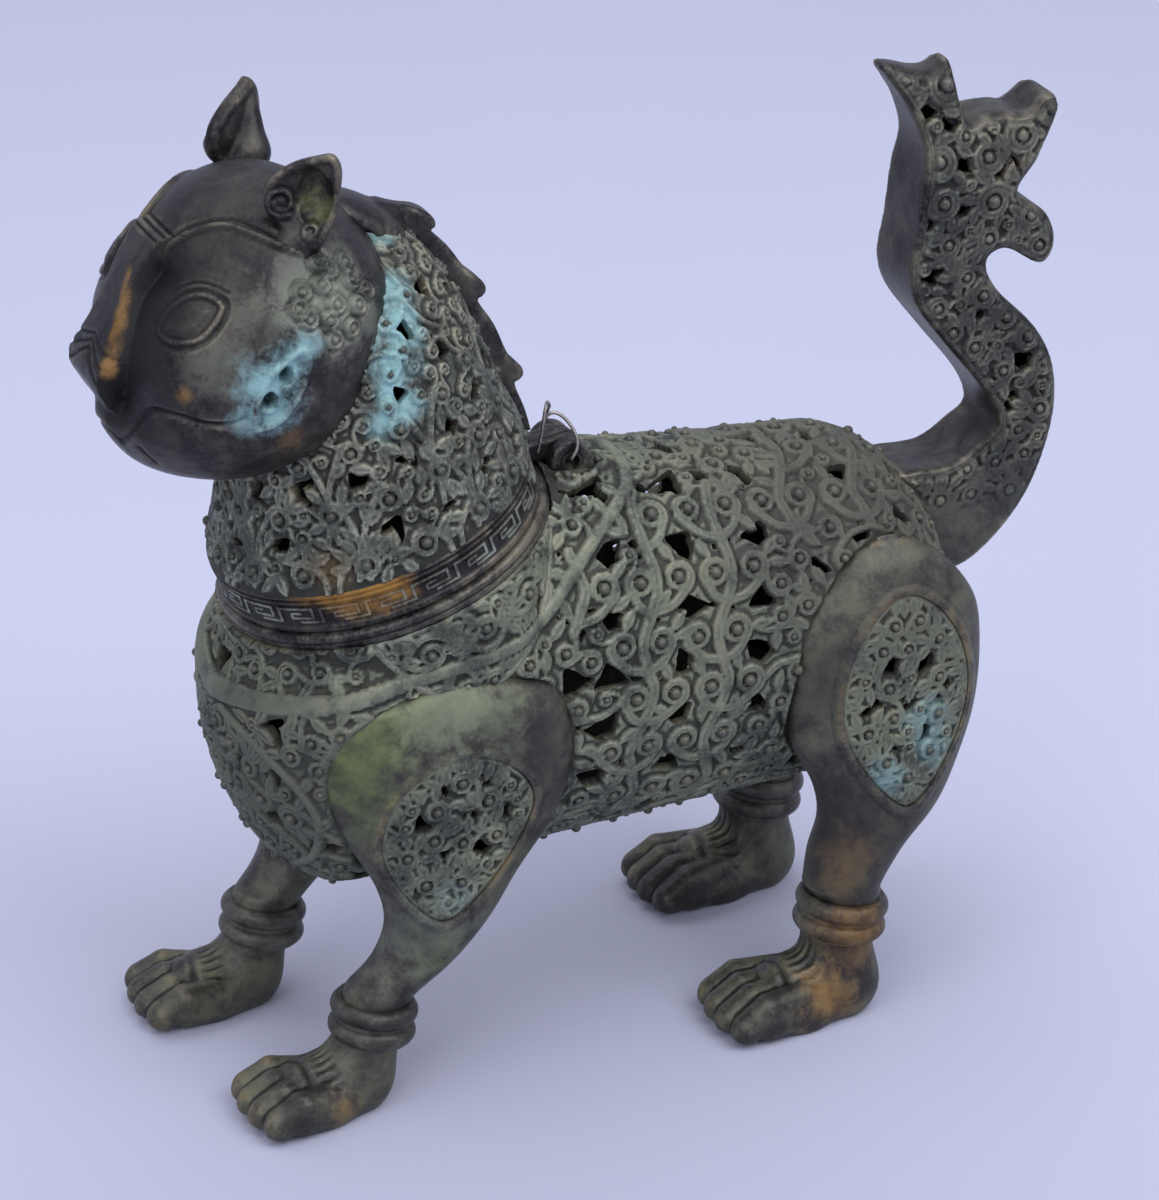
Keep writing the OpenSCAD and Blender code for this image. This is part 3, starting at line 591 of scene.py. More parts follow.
class Carving:
    """Raised ornament stamped on a surface: its height, and how far metal reaches past each point."""

    CELL = 5.0
    ROOM = 6.0
    NO_METAL, NO_HOLE, PLAIN = -9.0, 99.0, 3.0
    GROOVE = .32
    ECHO_GAP, ECHO_AT, ECHO_HALF, ECHO_HIGH = 2.6, 1.5, 1.1, .95
    CURL_HALF, CURL_EYE, CURL_TAPER = .3, .33, .55
    LEAF, LEAF_SHARE = [1.0, 2.2, 1.9, .4], .9

    def __init__(self, points, normals, seed):
        self.shape = points.shape[:-1]
        self.p, self.n = points.reshape(-1, 3), normals.reshape(-1, 3)
        self.high = np.zeros(len(self.p))
        self.reach = np.full(len(self.p), self.NO_METAL)
        self.hole = np.full(len(self.p), self.NO_HOLE)
        self.rng = np.random.default_rng(seed)
        self.bosses = []
        self.anchors = np.zeros((0, 4))
        key = np.floor(self.p / self.CELL).astype(int)
        order = np.lexsort(key.T)
        sorted_key = key[order]
        cut = np.flatnonzero(np.any(np.diff(sorted_key, axis=0), axis=1)) + 1
        self.cells = {tuple(key[part[0]]): part for part in np.split(order, cut)}

    def near(self, centre, r):
        lo = np.floor((centre - r) / self.CELL).astype(int)
        hi = np.floor((centre + r) / self.CELL).astype(int)
        spans = [range(a, b + 1) for a, b in zip(lo, hi)]
        found = [self.cells[k] for k in itertools.product(*spans) if k in self.cells]
        if not found:
            return np.zeros(0, int)
        ids = np.concatenate(found)
        d = self.p[ids] - centre
        return ids[(d * d).sum(1) < r * r]

    def spot(self, point):
        """The surface point nearest to a place, and its normal."""
        for r in (2, 5, 12):
            ids = self.near(point, r)
            if len(ids):
                k = ids[np.argmin(((self.p[ids] - point) ** 2).sum(1))]
                return self.p[k], self.n[k]
        return None, None

    def pierce(self, place, size, turn):
        """A triangular opening, which the scrolls laid after it keep out of."""
        centre, normal = self.spot(np.asarray(place, float))
        if centre is None:
            return
        e1 = unit(np.cross(normal, [.13, .21, 1.0]))
        e2 = np.cross(normal, e1)
        ids = self.near(centre, 2 * size + self.ROOM)
        u, v = (self.p[ids] - centre) @ e1, (self.p[ids] - centre) @ e2
        sides = [u * math.cos(turn + k) + v * math.sin(turn + k) for k in (0, 2.1, 4.2)]
        self.hole[ids] = np.minimum(self.hole[ids], np.max(sides, axis=0) - .55 * size)

    def scatter(self, free, count, size, apart):
        """Openings strewn over what is free, some way from each other."""
        for _ in range(count):
            room = np.flatnonzero(free.ravel() & (self.hole > apart) & (self.reach < -.3 * size))
            if not len(room):
                return
            k = room[self.rng.integers(len(room))]
            self.pierce(self.p[k], size * self.rng.uniform(.8, 1.15), self.rng.uniform(0, 6))

    def kept(self, ground):
        """Where metal stays: on scrolls and on the ground beside them, but for the openings."""
        return np.minimum(self.reach + ground, np.maximum(self.hole, self.reach)).reshape(self.shape)

    def relief(self, plain=False, deep=.8):
        """Height of the carved face, sunk between the scrolls, and how far each point lies in shade."""
        past = np.clip(-self.reach, 0, 2 * self.ECHO_GAP) % self.ECHO_GAP
        ridge = self.ECHO_HIGH * np.sqrt(bump((past - self.ECHO_AT) / self.ECHO_HALF))
        echo = np.where(self.high > .05, 0, ridge)
        high = np.maximum(self.high, 0) + echo - deep * ease(-self.reach / .8)
        shade = 1 - ease((self.high + echo) / .8)
        return [np.where(plain, 0, v.reshape(self.shape)) for v in (high, shade)]

    def cover(self, field):
        """Plain metal as far as a field of distances says."""
        self.reach = np.maximum(self.reach, field.ravel())

    def hold(self, points, reach):
        """Places that later stems may grow from, and how far metal reaches round each."""
        self.anchors = np.vstack([self.anchors, np.c_[points, np.broadcast_to(reach, len(points))]])

    def put(self, ids, high, reach):
        self.high[ids] = np.maximum(self.high[ids], high)
        self.reach[ids] = np.maximum(self.reach[ids], reach)

    def stroke(self, line, half, tall, anchor=True, groove=GROOVE, margin=.1):
        """Rounded stem along a line, with a groove down its middle where it is wide."""
        line = resample(line, .6)
        half = np.atleast_1d(half)
        half = np.interp(np.linspace(0, 1, len(line)), np.linspace(0, 1, len(half)), half)
        for s in range(0, len(line) - 1, 12):
            part = line[s:s + 13]
            width = half[s:s + 13]
            mid = part.mean(0)
            ids = self.near(mid, np.linalg.norm(part - mid, axis=1).max() + width.max() + self.ROOM)
            if not len(ids):
                continue
            d = self.p[ids][:, None] - part[None]
            d -= self.n[ids][:, None] * (d * self.n[ids][:, None]).sum(-1, keepdims=True)
            d = np.linalg.norm(d, axis=-1)
            k = np.argmin(d, axis=1)
            d, w = d[np.arange(len(ids)), k], width[k]
            self.put(ids, self.band(d, w, tall, groove), w + margin - d)
        if anchor:
            self.hold(line[::4], half[::4] * .7)

    @staticmethod
    def band(d, half, tall, groove=GROOVE):
        """Section of a stem: round-shouldered, with a line cut along its middle."""
        high = tall * bump(d / half) ** (.5 if groove else .3)
        return high - groove * tall * bump(d / (.36 * half)) * ease((half - .7) / .4)

    def curl(self, centre, normal, ahead, r, spin, turns, tall):
        """Spiral scroll that starts on the side of ahead and ends in a boss."""
        e1 = unit(ahead - normal * np.dot(ahead, normal))
        e2 = np.cross(normal, e1) * spin
        ids = self.near(centre, r + self.ROOM)
        if not len(ids):
            return
        d = self.p[ids] - centre
        u, v = d @ e1, d @ e2
        rho, turn = np.hypot(u, v), np.arctan2(v, u) % (2 * math.pi)
        half, eye = self.CURL_HALF * r, self.CURL_EYE * r
        first, last = r - half, eye + .4 * half
        full = 2 * math.pi * turns
        high = np.zeros(len(ids))
        for k in range(int(math.ceil(turns))):
            at = turn + 2 * math.pi * k
            wide = half * (1 - self.CURL_TAPER * at / full)
            ring = self.band(np.abs(rho - mix(first, last, at / full)), wide, tall)
            high = np.maximum(high, np.where(at <= full, ring, 0))
        high = np.maximum(high, (tall * .6 + eye * .7) * np.sqrt(bump(rho / eye)))
        self.put(ids, high, r - rho)
        self.bosses.append((centre, normal, eye, tall))
        self.hold([centre], r - .4)

    def vine(self, source, centre, normal, r, spin, turns, tall, half):
        """A scroll on a stem that leaves a source and runs smoothly into the scroll."""
        way = source - centre
        way = way - normal * np.dot(way, normal)
        far = max(np.linalg.norm(way), r * 1.02)
        way = unit(way)
        turn = spin * math.acos(min(1, (r - half) / far))
        ahead = way * math.cos(turn) + np.cross(normal, way) * math.sin(turn)
        end = centre + ahead * (r - half)
        mid = mix(source, end, .5) + ahead * .12 * far
        line = [source, mid, end]
        self.stroke(line if far < r * 1.3 else run(line, 5), half, tall, anchor=False)
        self.curl(centre, normal, ahead, r, spin, turns, tall)

    def source(self, centre, r):
        """The nearest metal to a new scroll."""
        d = self.anchors[:, :3] - centre
        far = np.linalg.norm(d, axis=1)
        k = np.argmin(far - self.anchors[:, 3] + 1e3 * (far < r * .6))
        return self.anchors[k, :3] - d[k] / max(far[k], 1e-6) * (self.anchors[k, 3] - .3)

    def fill(self, free, small, large, turns, tall, share=1.0, slack=.98):
        """Scrolls of many sizes in the room that is left: a share of the spots, the others stay open."""
        free = free.flatten()
        while True:
            room = np.flatnonzero(free & (self.reach < -small * slack) & (self.hole > .75 * small))
            if not len(room):
                return
            k = room[self.rng.integers(len(room))]
            r = min(-self.reach[k] / slack, self.hole[k] / .75, self.rng.uniform(small, large))
            spin = self.rng.choice([-1, 1])
            if self.rng.random() > share:
                free[self.near(self.p[k], r * .9)] = False
                continue
            half = .26 * r
            source = self.source(self.p[k], r) if len(self.anchors) else self.p[k] + [r, 0, r]
            self.vine(source, self.p[k], self.n[k], r, spin, turns, tall, half)

    def leaves(self, free, count, length, tall):
        """Small pointed leaves that grow from the stems into the openings."""
        for _ in range(count):
            beside = (self.reach > -1.6) & (self.reach < -.3)
            room = np.flatnonzero(free.ravel() & beside & (self.hole > .6))
            if not len(room):
                return
            k = room[self.rng.integers(len(room))]
            start = self.source(self.p[k], .5)
            way = unit(self.p[k] - start)
            side = np.cross(self.n[k], way) * self.rng.uniform(-.5, .5)
            tip = start + (way + side) * length
            mid = mix(start, tip, .5) - side * .6
            self.stroke(run([start, mid, tip], 4), self.LEAF, tall * self.LEAF_SHARE, anchor=False)


# Finishes

RAGGED, SPOT_EDGE = 2.2, .45
BUMP_SHARE, SPECULAR = .55, .3


class Value:
    """A socket of a shader tree that can stand in sums."""

    def __init__(self, finish, socket):
        self.finish, self.socket = finish, socket

    def join(self, kind, a, b):
        return self.finish.node("ShaderNodeMath", {"operation": kind}, {0: a, 1: b}).value(0)

    def __add__(self, other):
        return self.join("ADD", self, other)

    def __sub__(self, other):
        return self.join("SUBTRACT", self, other)

    def __rsub__(self, other):
        return self.join("SUBTRACT", other, self)

    def __mul__(self, other):
        return self.join("MULTIPLY", self, other)

    def __truediv__(self, other):
        return self.join("DIVIDE", self, other)

    __radd__ = __add__
    __rmul__ = __mul__

    def between(self, low, high):
        """0 below low, 1 above high and smooth between them."""
        made = self.finish.node("ShaderNodeMapRange", {"interpolation_type": "SMOOTHSTEP"},
                                {"Value": self, "From Min": low, "From Max": high})
        return made.value("Result")

    def most(self, other):
        return self.join("MAXIMUM", self, other)


class Made:
    """A node just made, whose outputs come as values."""

    def __init__(self, finish, node):
        self.finish, self.node = finish, node

    def value(self, key):
        return Value(self.finish, self.node.outputs[key])


class Finish:
    """The shader tree of one material."""

    def __init__(self, name):
        self.material = bpy.data.materials.new(name)
        self.material.use_nodes = True
        self.tree = self.material.node_tree
        self.tree.nodes.clear()
        self.place = self.node("ShaderNodeTexCoord").value("Object")

    def node(self, kind, settings=None, inputs=None):
        made = self.tree.nodes.new(kind)
        for key, value in (settings or {}).items():
            setattr(made, key, value)
        for key, value in (inputs or {}).items():
            if isinstance(value, Value):
                self.tree.links.new(value.socket, made.inputs[key])
            else:
                made.inputs[key].default_value = value
        return Made(self, made)

    def noise(self, scale, detail=4.0, rough=.55, twist=0.0):
        return self.node("ShaderNodeTexNoise", {}, {"Vector": self.place, "Scale": scale, "Detail": detail,
                                                    "Roughness": rough, "Distortion": twist}).value("Fac")

    def attribute(self, name):
        return self.node("ShaderNodeAttribute", {"attribute_name": name}).value("Fac")

    def blend(self, a, b, share):
        """Colour a with a share of colour b."""
        a, b = (x if isinstance(x, Value) else (*x, 1.0) for x in (a, b))
        return self.node("ShaderNodeMix", {"data_type": "RGBA"}, {0: share, 6: a, 7: b}).value(2)

    def nearness(self, point, radius, uneven):
        """1 near a point of the burner and 0 past a radius, both in millimetres, with a ragged edge."""
        gap = self.node("ShaderNodeVectorMath", {"operation": "DISTANCE"},
                        {0: self.place, 1: tuple(c * MM for c in point)}).value("Value")
        ragged = (uneven - .5) * RAGGED
        return (1 - gap / (radius * MM) + ragged).between(.5 - SPOT_EDGE, .5 + SPOT_EDGE)

    def end(self, base, rough, metal, bump_height, bump_depth):
        normal = self.node("ShaderNodeBump", {}, {"Strength": BUMP_SHARE, "Distance": bump_depth,
                                                  "Height": bump_height}).value("Normal")
        shader = self.node("ShaderNodeBsdfPrincipled", {}, {
            "Base Color": base, "Roughness": rough, "Metallic": metal, "Normal": normal,
            "Specular IOR Level": SPECULAR})
        self.node("ShaderNodeOutputMaterial", {}, {"Surface": shader.value("BSDF")})
        return self.material


def bronze(name, deep, body, film, film_share, rub, rub_share, dust_and_highlight_share, metal, rough, spots):
    """Old bronze: a mottled body under a green film, with painted shade in the hollows and on the sunk
    ground, pale dust and painted highlight on the ridges, and rubbed bright on the edges.
    """
    colour = bpy.context.scene.burner_colours
    f = Finish(name)
    broad, mottle, fine = f.noise(26, 5, .6, .4), f.noise(120, 6, .62, .3), f.noise(760, 4, .6)
    wear_highlight_and_shade = f.attribute("wear_highlight_and_shade")
    proud, hollow = wear_highlight_and_shade.between(.1, .55), (0 - wear_highlight_and_shade).between(.04, .45)
    paint = f.blend(deep, body, (broad * .55 + mottle * .45).between(.38, .62))
    green = (mottle * .6 + broad * .5).between(.62 - .3 * film_share, .86 - .3 * film_share) * film_share
    paint = f.blend(paint, film, green)
    pit = f.attribute("pit")
    # Pale dust everywhere, and painted highlight of the same pale on the ridges; none in the painted shade.
    dust_and_highlight = (fine * .5 + mottle * .5).between(.4, .64) * (.25 + proud * .75) * (1 - pit) * dust_and_highlight_share
    paint = f.blend(paint, tuple(colour.pale), dust_and_highlight)
    # Painted shade: near black in the hollows and on the sunk ground between the scrolls.
    paint = f.blend(paint, tuple(v * .22 for v in deep), (hollow * .8).most(pit * (.85 + (mottle - .5) * .4)))
    bright = proud * (broad * .5 + mottle * .5).between(.46, .6) * rub_share
    paint = f.blend(paint, rub, bright)
    crust = None
    for point, radius, tint, amount in spots:
        here = f.nearness(point, radius, mottle * .8 + fine * .2) * amount
        paint = f.blend(paint, tint, here)
        crust = here if crust is None else crust.most(here)
    dull = green * .6 if crust is None else (green * .6).most(crust)
    rough_all = rough + (mottle - .5) * .28 + dull * .2 - bright * .1
    # Less metallic where the painted shade lies.
    metal_all = (metal * (1 - dull) + bright * (.35 * metal)) * (1 - pit * .7)
    return f.end(paint, rough_all, metal_all, fine * .5 + mottle * .8, .0006)


def wire_finish(name, colour, rough, metal):
    """Drawn wire with a light grain."""
    f = Finish(name)
    fine, mottle = f.noise(900, 3), f.noise(160, 4)
    paint = f.blend(tuple(c * .6 for c in colour), colour, mottle.between(.35, .65))
    return f.end(paint, rough + (mottle - .5) * .3, metal + (fine - .5) * .1, fine, .0003)


def between(a, b, t):
    """A colour on the way from one colour to another."""
    return tuple(mix(u, v, t) for u, v in zip(a, b))


def patches(tint, *rows):
    """Patches of one colour: a place and a radius in millimetres, and how strongly each covers."""
    return [((x, y, z), radius, tint, amount) for x, y, z, radius, amount in rows]


def make_finish(name):
    """One of the burner's finishes, in the user's colours."""
    c = bpy.context.scene.burner_colours
    dark, brown, green, pale, gold, blue, moss = (
        tuple(v) for v in (c.dark, c.brown, c.green, c.pale, c.gold, c.verdigris, c.moss))
    black = tuple(v * .25 for v in dark)
    ground = between(dark, green, .3)
    olive = between(brown, green, .35)
    glint = between(gold, pale, .5)
    moss_with_painted_sheen, wet_moss = between(moss, pale, .45), (.14, .19, .05)
    bridge = run([(140.5, 3.6, 268.4), (144.6, 8.3, 260), (148.2, 11.5, 251), (150.8, 13, 244)], 5)
    if name == "wire":
        return wire_finish("tie_wire", (.36, .33, .29), .38, .9)
    # Each row: material, dark and light of the body, film and its share, rubbed colour and its share,
    # share of pale dust and painted highlight, metallic, roughness.
    looks = {
        "openwork": ("patinated_openwork", ground, green, between(green, moss, .35), .6, glint, .25,
                     .6, .4, .5),
        "neck": ("patinated_neck", ground, between(green, brown, .45), between(green, brown, .2), .45,
                 glint, .35, .8, .4, .5),
        "tail": ("patinated_tail", between(dark, ground, .5), between(green, brown, .8),
                 between(green, brown, .5), .4, glint, .25, .35, .4, .5),
        "head": ("dark_head", dark, brown, between(green, brown, .4), .3, glint, .4, .3, .55, .36),
        "smooth": ("dark_bands", dark, between(brown, green, .12), green, .25, glint, .3, .2, .55, .4),
        "lug": ("hinge_lugs", dark, olive, green, .55, gold, .5, .3, .5, .45),
        "limb": ("limb_bronze", between(dark, brown, .6), olive, between(olive, moss, .5), .45, gold, .28,
                 .25, .5, .42),
        "collar": ("rubbed_collar", dark, brown, between(green, brown, .5), .25, glint, .5, .2, .55, .4),
        "fret": ("pale_fret", brown, between(brown, pale, .55), between(green, pale, .5), .5, pale, .5,
                 .5, .45, .45),
        "rubbed": ("rubbed_rings", between(dark, brown, .6), olive, green, .4, gold, .6, .25, .5, .42),
        "ear": ("ear_bronze", dark, brown, green, .3, glint, .4, .2, .55, .4),
        "boss": ("copper_bosses", ground, between(green, brown, .55), between(brown, gold, .2), .35, glint,
                 .25, .35, .45, .45),
        "soot": ("sooted_iron", black, dark, brown, .3, gold, .1, .1, .3, .7),
    }
    spots = {
        "openwork": patches(blue, (-94.7, 53.5, 102, 11, .4), (-97, 53.3, 91, 10, .4),
                            (-80.6, 55.2, 83, 10, .5), (62, 56, 72, 11, .15))
        + patches(between(ground, brown, .5), (-84, 26, 170, 90, .7))
        + patches(ground, (108, 26, 104, 60, .7)),
        "neck": patches(blue, (67, 10, 274, 10, .6), (68.4, 28.8, 261, 11, .75), (69.6, 35.2, 251, 12, .85),
                        (72.9, 39.2, 241, 13, .9), (72, 40.9, 231, 11, .8), (78, 41.7, 226, 8, .6))
        + patches(gold, (95, 40, 182, 10, .2)),
        "head": patches(between(green, pale, .5), (92.9, 40.5, 266.7, 26, .65))
        + patches(green, (128.2, 40.6, 249.7, 18, .4), (112.1, 43, 262, 14, .35))
        # Black: the first patch darkens the crown; the rest are painted shade in the deep hollow between the
        # nose and the eye.
        + patches(black, (108, 6, 294, 60, .5), (136, 11, 270, 18, .9), (138.5, 17, 261, 25, 1.0),
                  (142, 19, 250, 26, 1.0), (146, 15, 238, 27, 1.0), (147, 9, 230, 22, .95))
        + patches(between(gold, brown, .3), *[(*p, 3.6, .5) for p in bridge.tolist()])
        + patches(blue, (113.5, 45.5, 246, 13, .85), (107.3, 45.6, 252, 11, .8), (112, 43.6, 236, 10.5, .8),
                  (120.3, 42.6, 234, 8, .5), (101, 45.2, 256, 7, .45))
        + patches(gold, (135.7, 35.9, 243, 4.5, .5), (106.3, 41, 226, 7, .25)),
        "lug": patches(moss, (2, 8, 180, 9, .4)),
        "limb": patches(wet_moss, (93, 48, 118, 26, .36), (84, 50, 134, 22, .36))
        # Moss paled by a painted sheen on the tops of the front arches.
        + patches(moss_with_painted_sheen, (66, 52, 138, 26, .6), (50, 53, 132, 20, .5))
        + patches(dark, (36, 53, 112, 18, .45)) + patches(moss, (66, 48, 52, 12, .35))
        + patches(between(green, pale, .3), (74, 48, 62, 30, .35)) + patches(dark, (-70, 53.7, 64, 34, .5))
        + patches(gold, (-70, 53.7, 58, 14, .14), (-67, 53, 48, 10, .16), (-62, 54, 10, 15, .5),
                  (-72, 50, 24, 13, .3), (98, 50, 6, 8, .35))
        + patches(dark, (-88, 53, 142, 16, .45), (-62, 54, 118, 18, .45)),
        "collar": patches(gold, (97.3, 38.5, 175.3, 11, .85), (91.5, 43.5, 173.2, 11, .85),
                          (83.4, 47.1, 178, 11, .9), (77.7, 48.3, 176, 9, .75))
        + patches(black, (114, 12, 162, 50, .55)),
        "fret": patches(gold, (91.5, 43.5, 173.2, 14, .5), (83.4, 47.1, 178, 13, .5)),
        "rubbed": patches(gold, (-71, 54, 33, 18, .45)),
        "ear": patches(moss, (94, 32, 294, 8, .85), (97, 30, 299, 5, .5)),
    }
    return bronze(*looks[name], spots.get(name, ()))


FINISHES = {}


def finish(name):
    """The burner's finishes, made when first asked for."""
    if name not in FINISHES:
        FINISHES[name] = make_finish(name)
    return FINISHES[name]


# Sizes and colours that a user would change

def length(name, description, default, low, high, digits=4):
    return FloatProperty(name=name, description=description, default=default, min=low, max=high,
                         unit="LENGTH", precision=digits)


class BurnerSizes(bpy.types.PropertyGroup):
    """Sizes of the ornament and of the walls that carry it."""

    grid: length("Grid", "Spacing of the points that carve the openwork", .00068, .0004, .002, 5)
    wall: length("Wall", "Thickness of the pierced walls", .003, .001, .004)
    relief: length("Relief", "Height of the scrolls over the ground", .0014, .0003, .003)
    scroll: length("Scroll", "Radius of the large scrolls", .0059, .003, .008)
    stem: length("Stem", "Half width of the main stems", .0021, .0008, .003)
    ground: length("Ground", "Width of the ground that is left beside the scrolls", .003, 0, .006)
    fret_count: IntProperty(name="Key frets", description="Number of key-fret units round the collar",
                            default=22, min=8, max=60)
    wire: length("Tie wire", "Thickness of the tie wire", .0011, .0005, .002)


def tint(name, description, default):
    return FloatVectorProperty(name=name, description=description, default=default, subtype="COLOR", size=3,
                               min=0, max=1)


class BurnerColours(bpy.types.PropertyGroup):
    """Colours of the bronze, its patina and the stage."""

    dark: tint("Dark bronze", "Dark brown of the head, tail and smooth bands", (.015, .0135, .0155))
    brown: tint("Brown bronze", "Lighter mottling of the dark bronze", (.05, .043, .039))
    green: tint("Green patina", "Grey green of the openwork", (.152, .165, .13))
    # Pale dust, also painted as highlight on the ridges and as sheen on the tops of the front arches.
    pale: tint("Pale bloom", "Pale dust on the patina", (.3, .33, .28))
    gold: tint("Rubbed bronze", "Ochre where the patina is rubbed off", (.3, .155, .035))
    verdigris: tint("Verdigris", "Turquoise crust", (.26, .46, .49))
    moss: tint("Moss green", "Bright green patches on the arches and in the ears", (.15, .175, .06))
    floor: tint("Floor", "Pale lilac ground and backdrop", (.52, .54, .72))


# Body

def sizes():
    """The user's sizes in millimetres."""
    s = bpy.context.scene.burner_sizes
    return {k: getattr(s, k) / MM for k in ("grid", "wall", "relief", "scroll", "stem", "ground", "wire")}


def arc_steps(line, gap):
    """Positions along a line at equal distances, as fractions of its point numbers."""
    far = lengths(line)
    return np.interp(np.arange(0, far[-1], gap), far, np.arange(len(line)))


def torso_rows(gap):
    turn = np.linspace(.004, math.pi / 2, 200)
    rear = RUMP + RUMP_ROUND * (1 - np.cos(turn))
    front = (CHEST - BREAST_ROUND * (1 - np.cos(turn)))[::-1]
    x = np.r_[rear, np.linspace(rear[-1], front[0], 300)[1:-1], front]
    _, tall, mid = body_section(x)
    return np.interp(arc_steps(np.c_[x, mid + tall], gap), np.arange(len(x)), x)


def torso_angles(gap):
    a = np.linspace(-math.pi / 2, 1.5 * math.pi, 6000)
    p = body_point(np.full_like(a, 20.0), a)
    return np.interp(arc_steps(p, gap), np.arange(len(a)), a)


def node_tree(name, *inputs):
    """A Geometry Nodes tree with a geometry and other inputs, and with one geometry as output."""
    tree = bpy.data.node_groups.new(name, "GeometryNodeTree")
    for key, kind in (("Geometry", "Geometry"), *inputs):
        tree.interface.new_socket(key, in_out="INPUT", socket_type="NodeSocket" + kind)
    tree.interface.new_socket("Geometry", in_out="OUTPUT", socket_type="NodeSocketGeometry")
    return tree


def tie(tree, *links):
    """Links nodes: each link names a node and its output, then a node and its input."""
    for source, out, target, into in links:
        tree.links.new(source.outputs[out], target.inputs[into])


def boss_tree():
    """Geometry Nodes: a low dome on each point, as large as the point says."""
    tree = node_tree("Scroll bosses", ("Share", "Float"), ("Finish", "Material"))
    new = tree.nodes.new
    start, end = new("NodeGroupInput"), new("NodeGroupOutput")
    ball, soft = new("GeometryNodeMeshUVSphere"), new("GeometryNodeSetShadeSmooth")
    for key, value in (("Segments", 9), ("Rings", 6), ("Radius", 1)):
        ball.inputs[key].default_value = value
    way, size = new("GeometryNodeInputNamedAttribute"), new("GeometryNodeInputNamedAttribute")
    for node, name, kind in ((way, "way", "FLOAT_VECTOR"), (size, "size", "FLOAT")):
        node.data_type = kind
        node.inputs["Name"].default_value = name
    scale, turn = new("ShaderNodeMath"), new("FunctionNodeAlignRotationToVector")
    scale.operation, turn.axis = "MULTIPLY", "Z"
    put, real = new("GeometryNodeInstanceOnPoints"), new("GeometryNodeRealizeInstances")
    paint = new("GeometryNodeSetMaterial")
    tie(tree, (ball, "Mesh", soft, "Geometry"), (soft, "Geometry", put, "Instance"),
        (start, "Geometry", put, "Points"), (way, "Attribute", turn, "Vector"),
        (turn, "Rotation", put, "Rotation"), (size, "Attribute", scale, 0), (start, "Share", scale, 1),
        (scale, "Value", put, "Scale"), (put, "Instances", real, "Geometry"),
        (real, "Geometry", paint, "Geometry"), (start, "Finish", paint, "Material"),
        (paint, "Geometry", end, "Geometry"))
    return tree


def bake_nodes(name, mesh, tree, values):
    """The plain mesh that a node tree makes from a mesh."""
    helper = bpy.data.objects.new(name, mesh)
    bpy.context.scene.collection.objects.link(helper)
    nodes = helper.modifiers.new(tree.name, "NODES")
    nodes.node_group = tree
    for item in tree.interface.items_tree:
        if item.in_out == "INPUT" and item.name in values:
            nodes[item.identifier] = values[item.name]
    made = bpy.data.meshes.new_from_object(helper.evaluated_get(bpy.context.evaluated_depsgraph_get()))
    made.name = name
    bpy.data.objects.remove(helper)
    return made


def set_wear_highlight_and_shade(mesh, value):
    """The same value for wear, painted highlight and painted shade all over a mesh."""
    layer = mesh.attributes.new("wear_highlight_and_shade", "FLOAT", "POINT")
    layer.data.foreach_set("value", np.full(len(mesh.vertices), value, np.float32))


# The bosses' value gives them some rubbed wear and painted highlight.
BOSS_LIFT, BOSS_SINK, BOSS_SHARE, BOSS_WEAR_AND_HIGHLIGHT = .9, .15, .92, .25


def make_bosses(name, bosses, body):
    """Proud bosses at the hearts of scrolls."""
    p = np.array([c + n * (t * BOSS_LIFT - BOSS_SINK * r) for c, n, r, t in bosses])
    mesh = bpy.data.meshes.new(name + "_points")
    mesh.from_pydata((p * MM).tolist(), [], [])
    way = mesh.attributes.new("way", "FLOAT_VECTOR", "POINT")
    way.data.foreach_set("vector", np.array([n for _, n, _, _ in bosses], np.float32).ravel())
    size = mesh.attributes.new("size", "FLOAT", "POINT")
    size.data.foreach_set("value", np.array([r * MM for _, _, r, _ in bosses], np.float32))
    made = bake_nodes(name, mesh, boss_tree(), {"Share": BOSS_SHARE, "Finish": finish("boss")})
    set_wear_highlight_and_shade(made, BOSS_WEAR_AND_HIGHLIGHT)
    return add_piece(name, made, body)


def shown_bosses(carving, keep, least=1.0):
    """The bosses that stand where the wall is kept."""
    field = keep.ravel()
    out = []
    for c, n, r, t in carving.bosses:
        ids = carving.near(c, 1.2)
        if r > least and len(ids) and field[ids].min() > .6:
            out.append((c, n, r, t))
    return out


# First and last number of the main scrolls in each row of the flanks.
SCROLL_RUNS = [(0, 3), (0, 3), (0, 3), (0, 3), (0, 4), (-4, 2), (-4, -2)]


def flank_spot(row, k, side):
    """Place of a main scroll of the flanks, by its row from the belly up and its number from the rump on."""
    climb = math.radians(-34 + 21 * (row - .5))
    x = -33.75 + 12.5 * k + 6 * (1 - abs(row % 2 - 1)) - 2 * row
    wide, tall, mid = (float(v) for v in body_section(np.array(x)))
    c, s = math.cos(climb), math.sin(climb)
    r = tall
    for _ in range(4):
        r /= ((r * abs(c) / wide) ** (2 / SIDE_POWER) + (r * abs(s) / tall) ** (2 / BACK_POWER)) ** .45
    return np.array([x, side * r * c, mid + r * s])


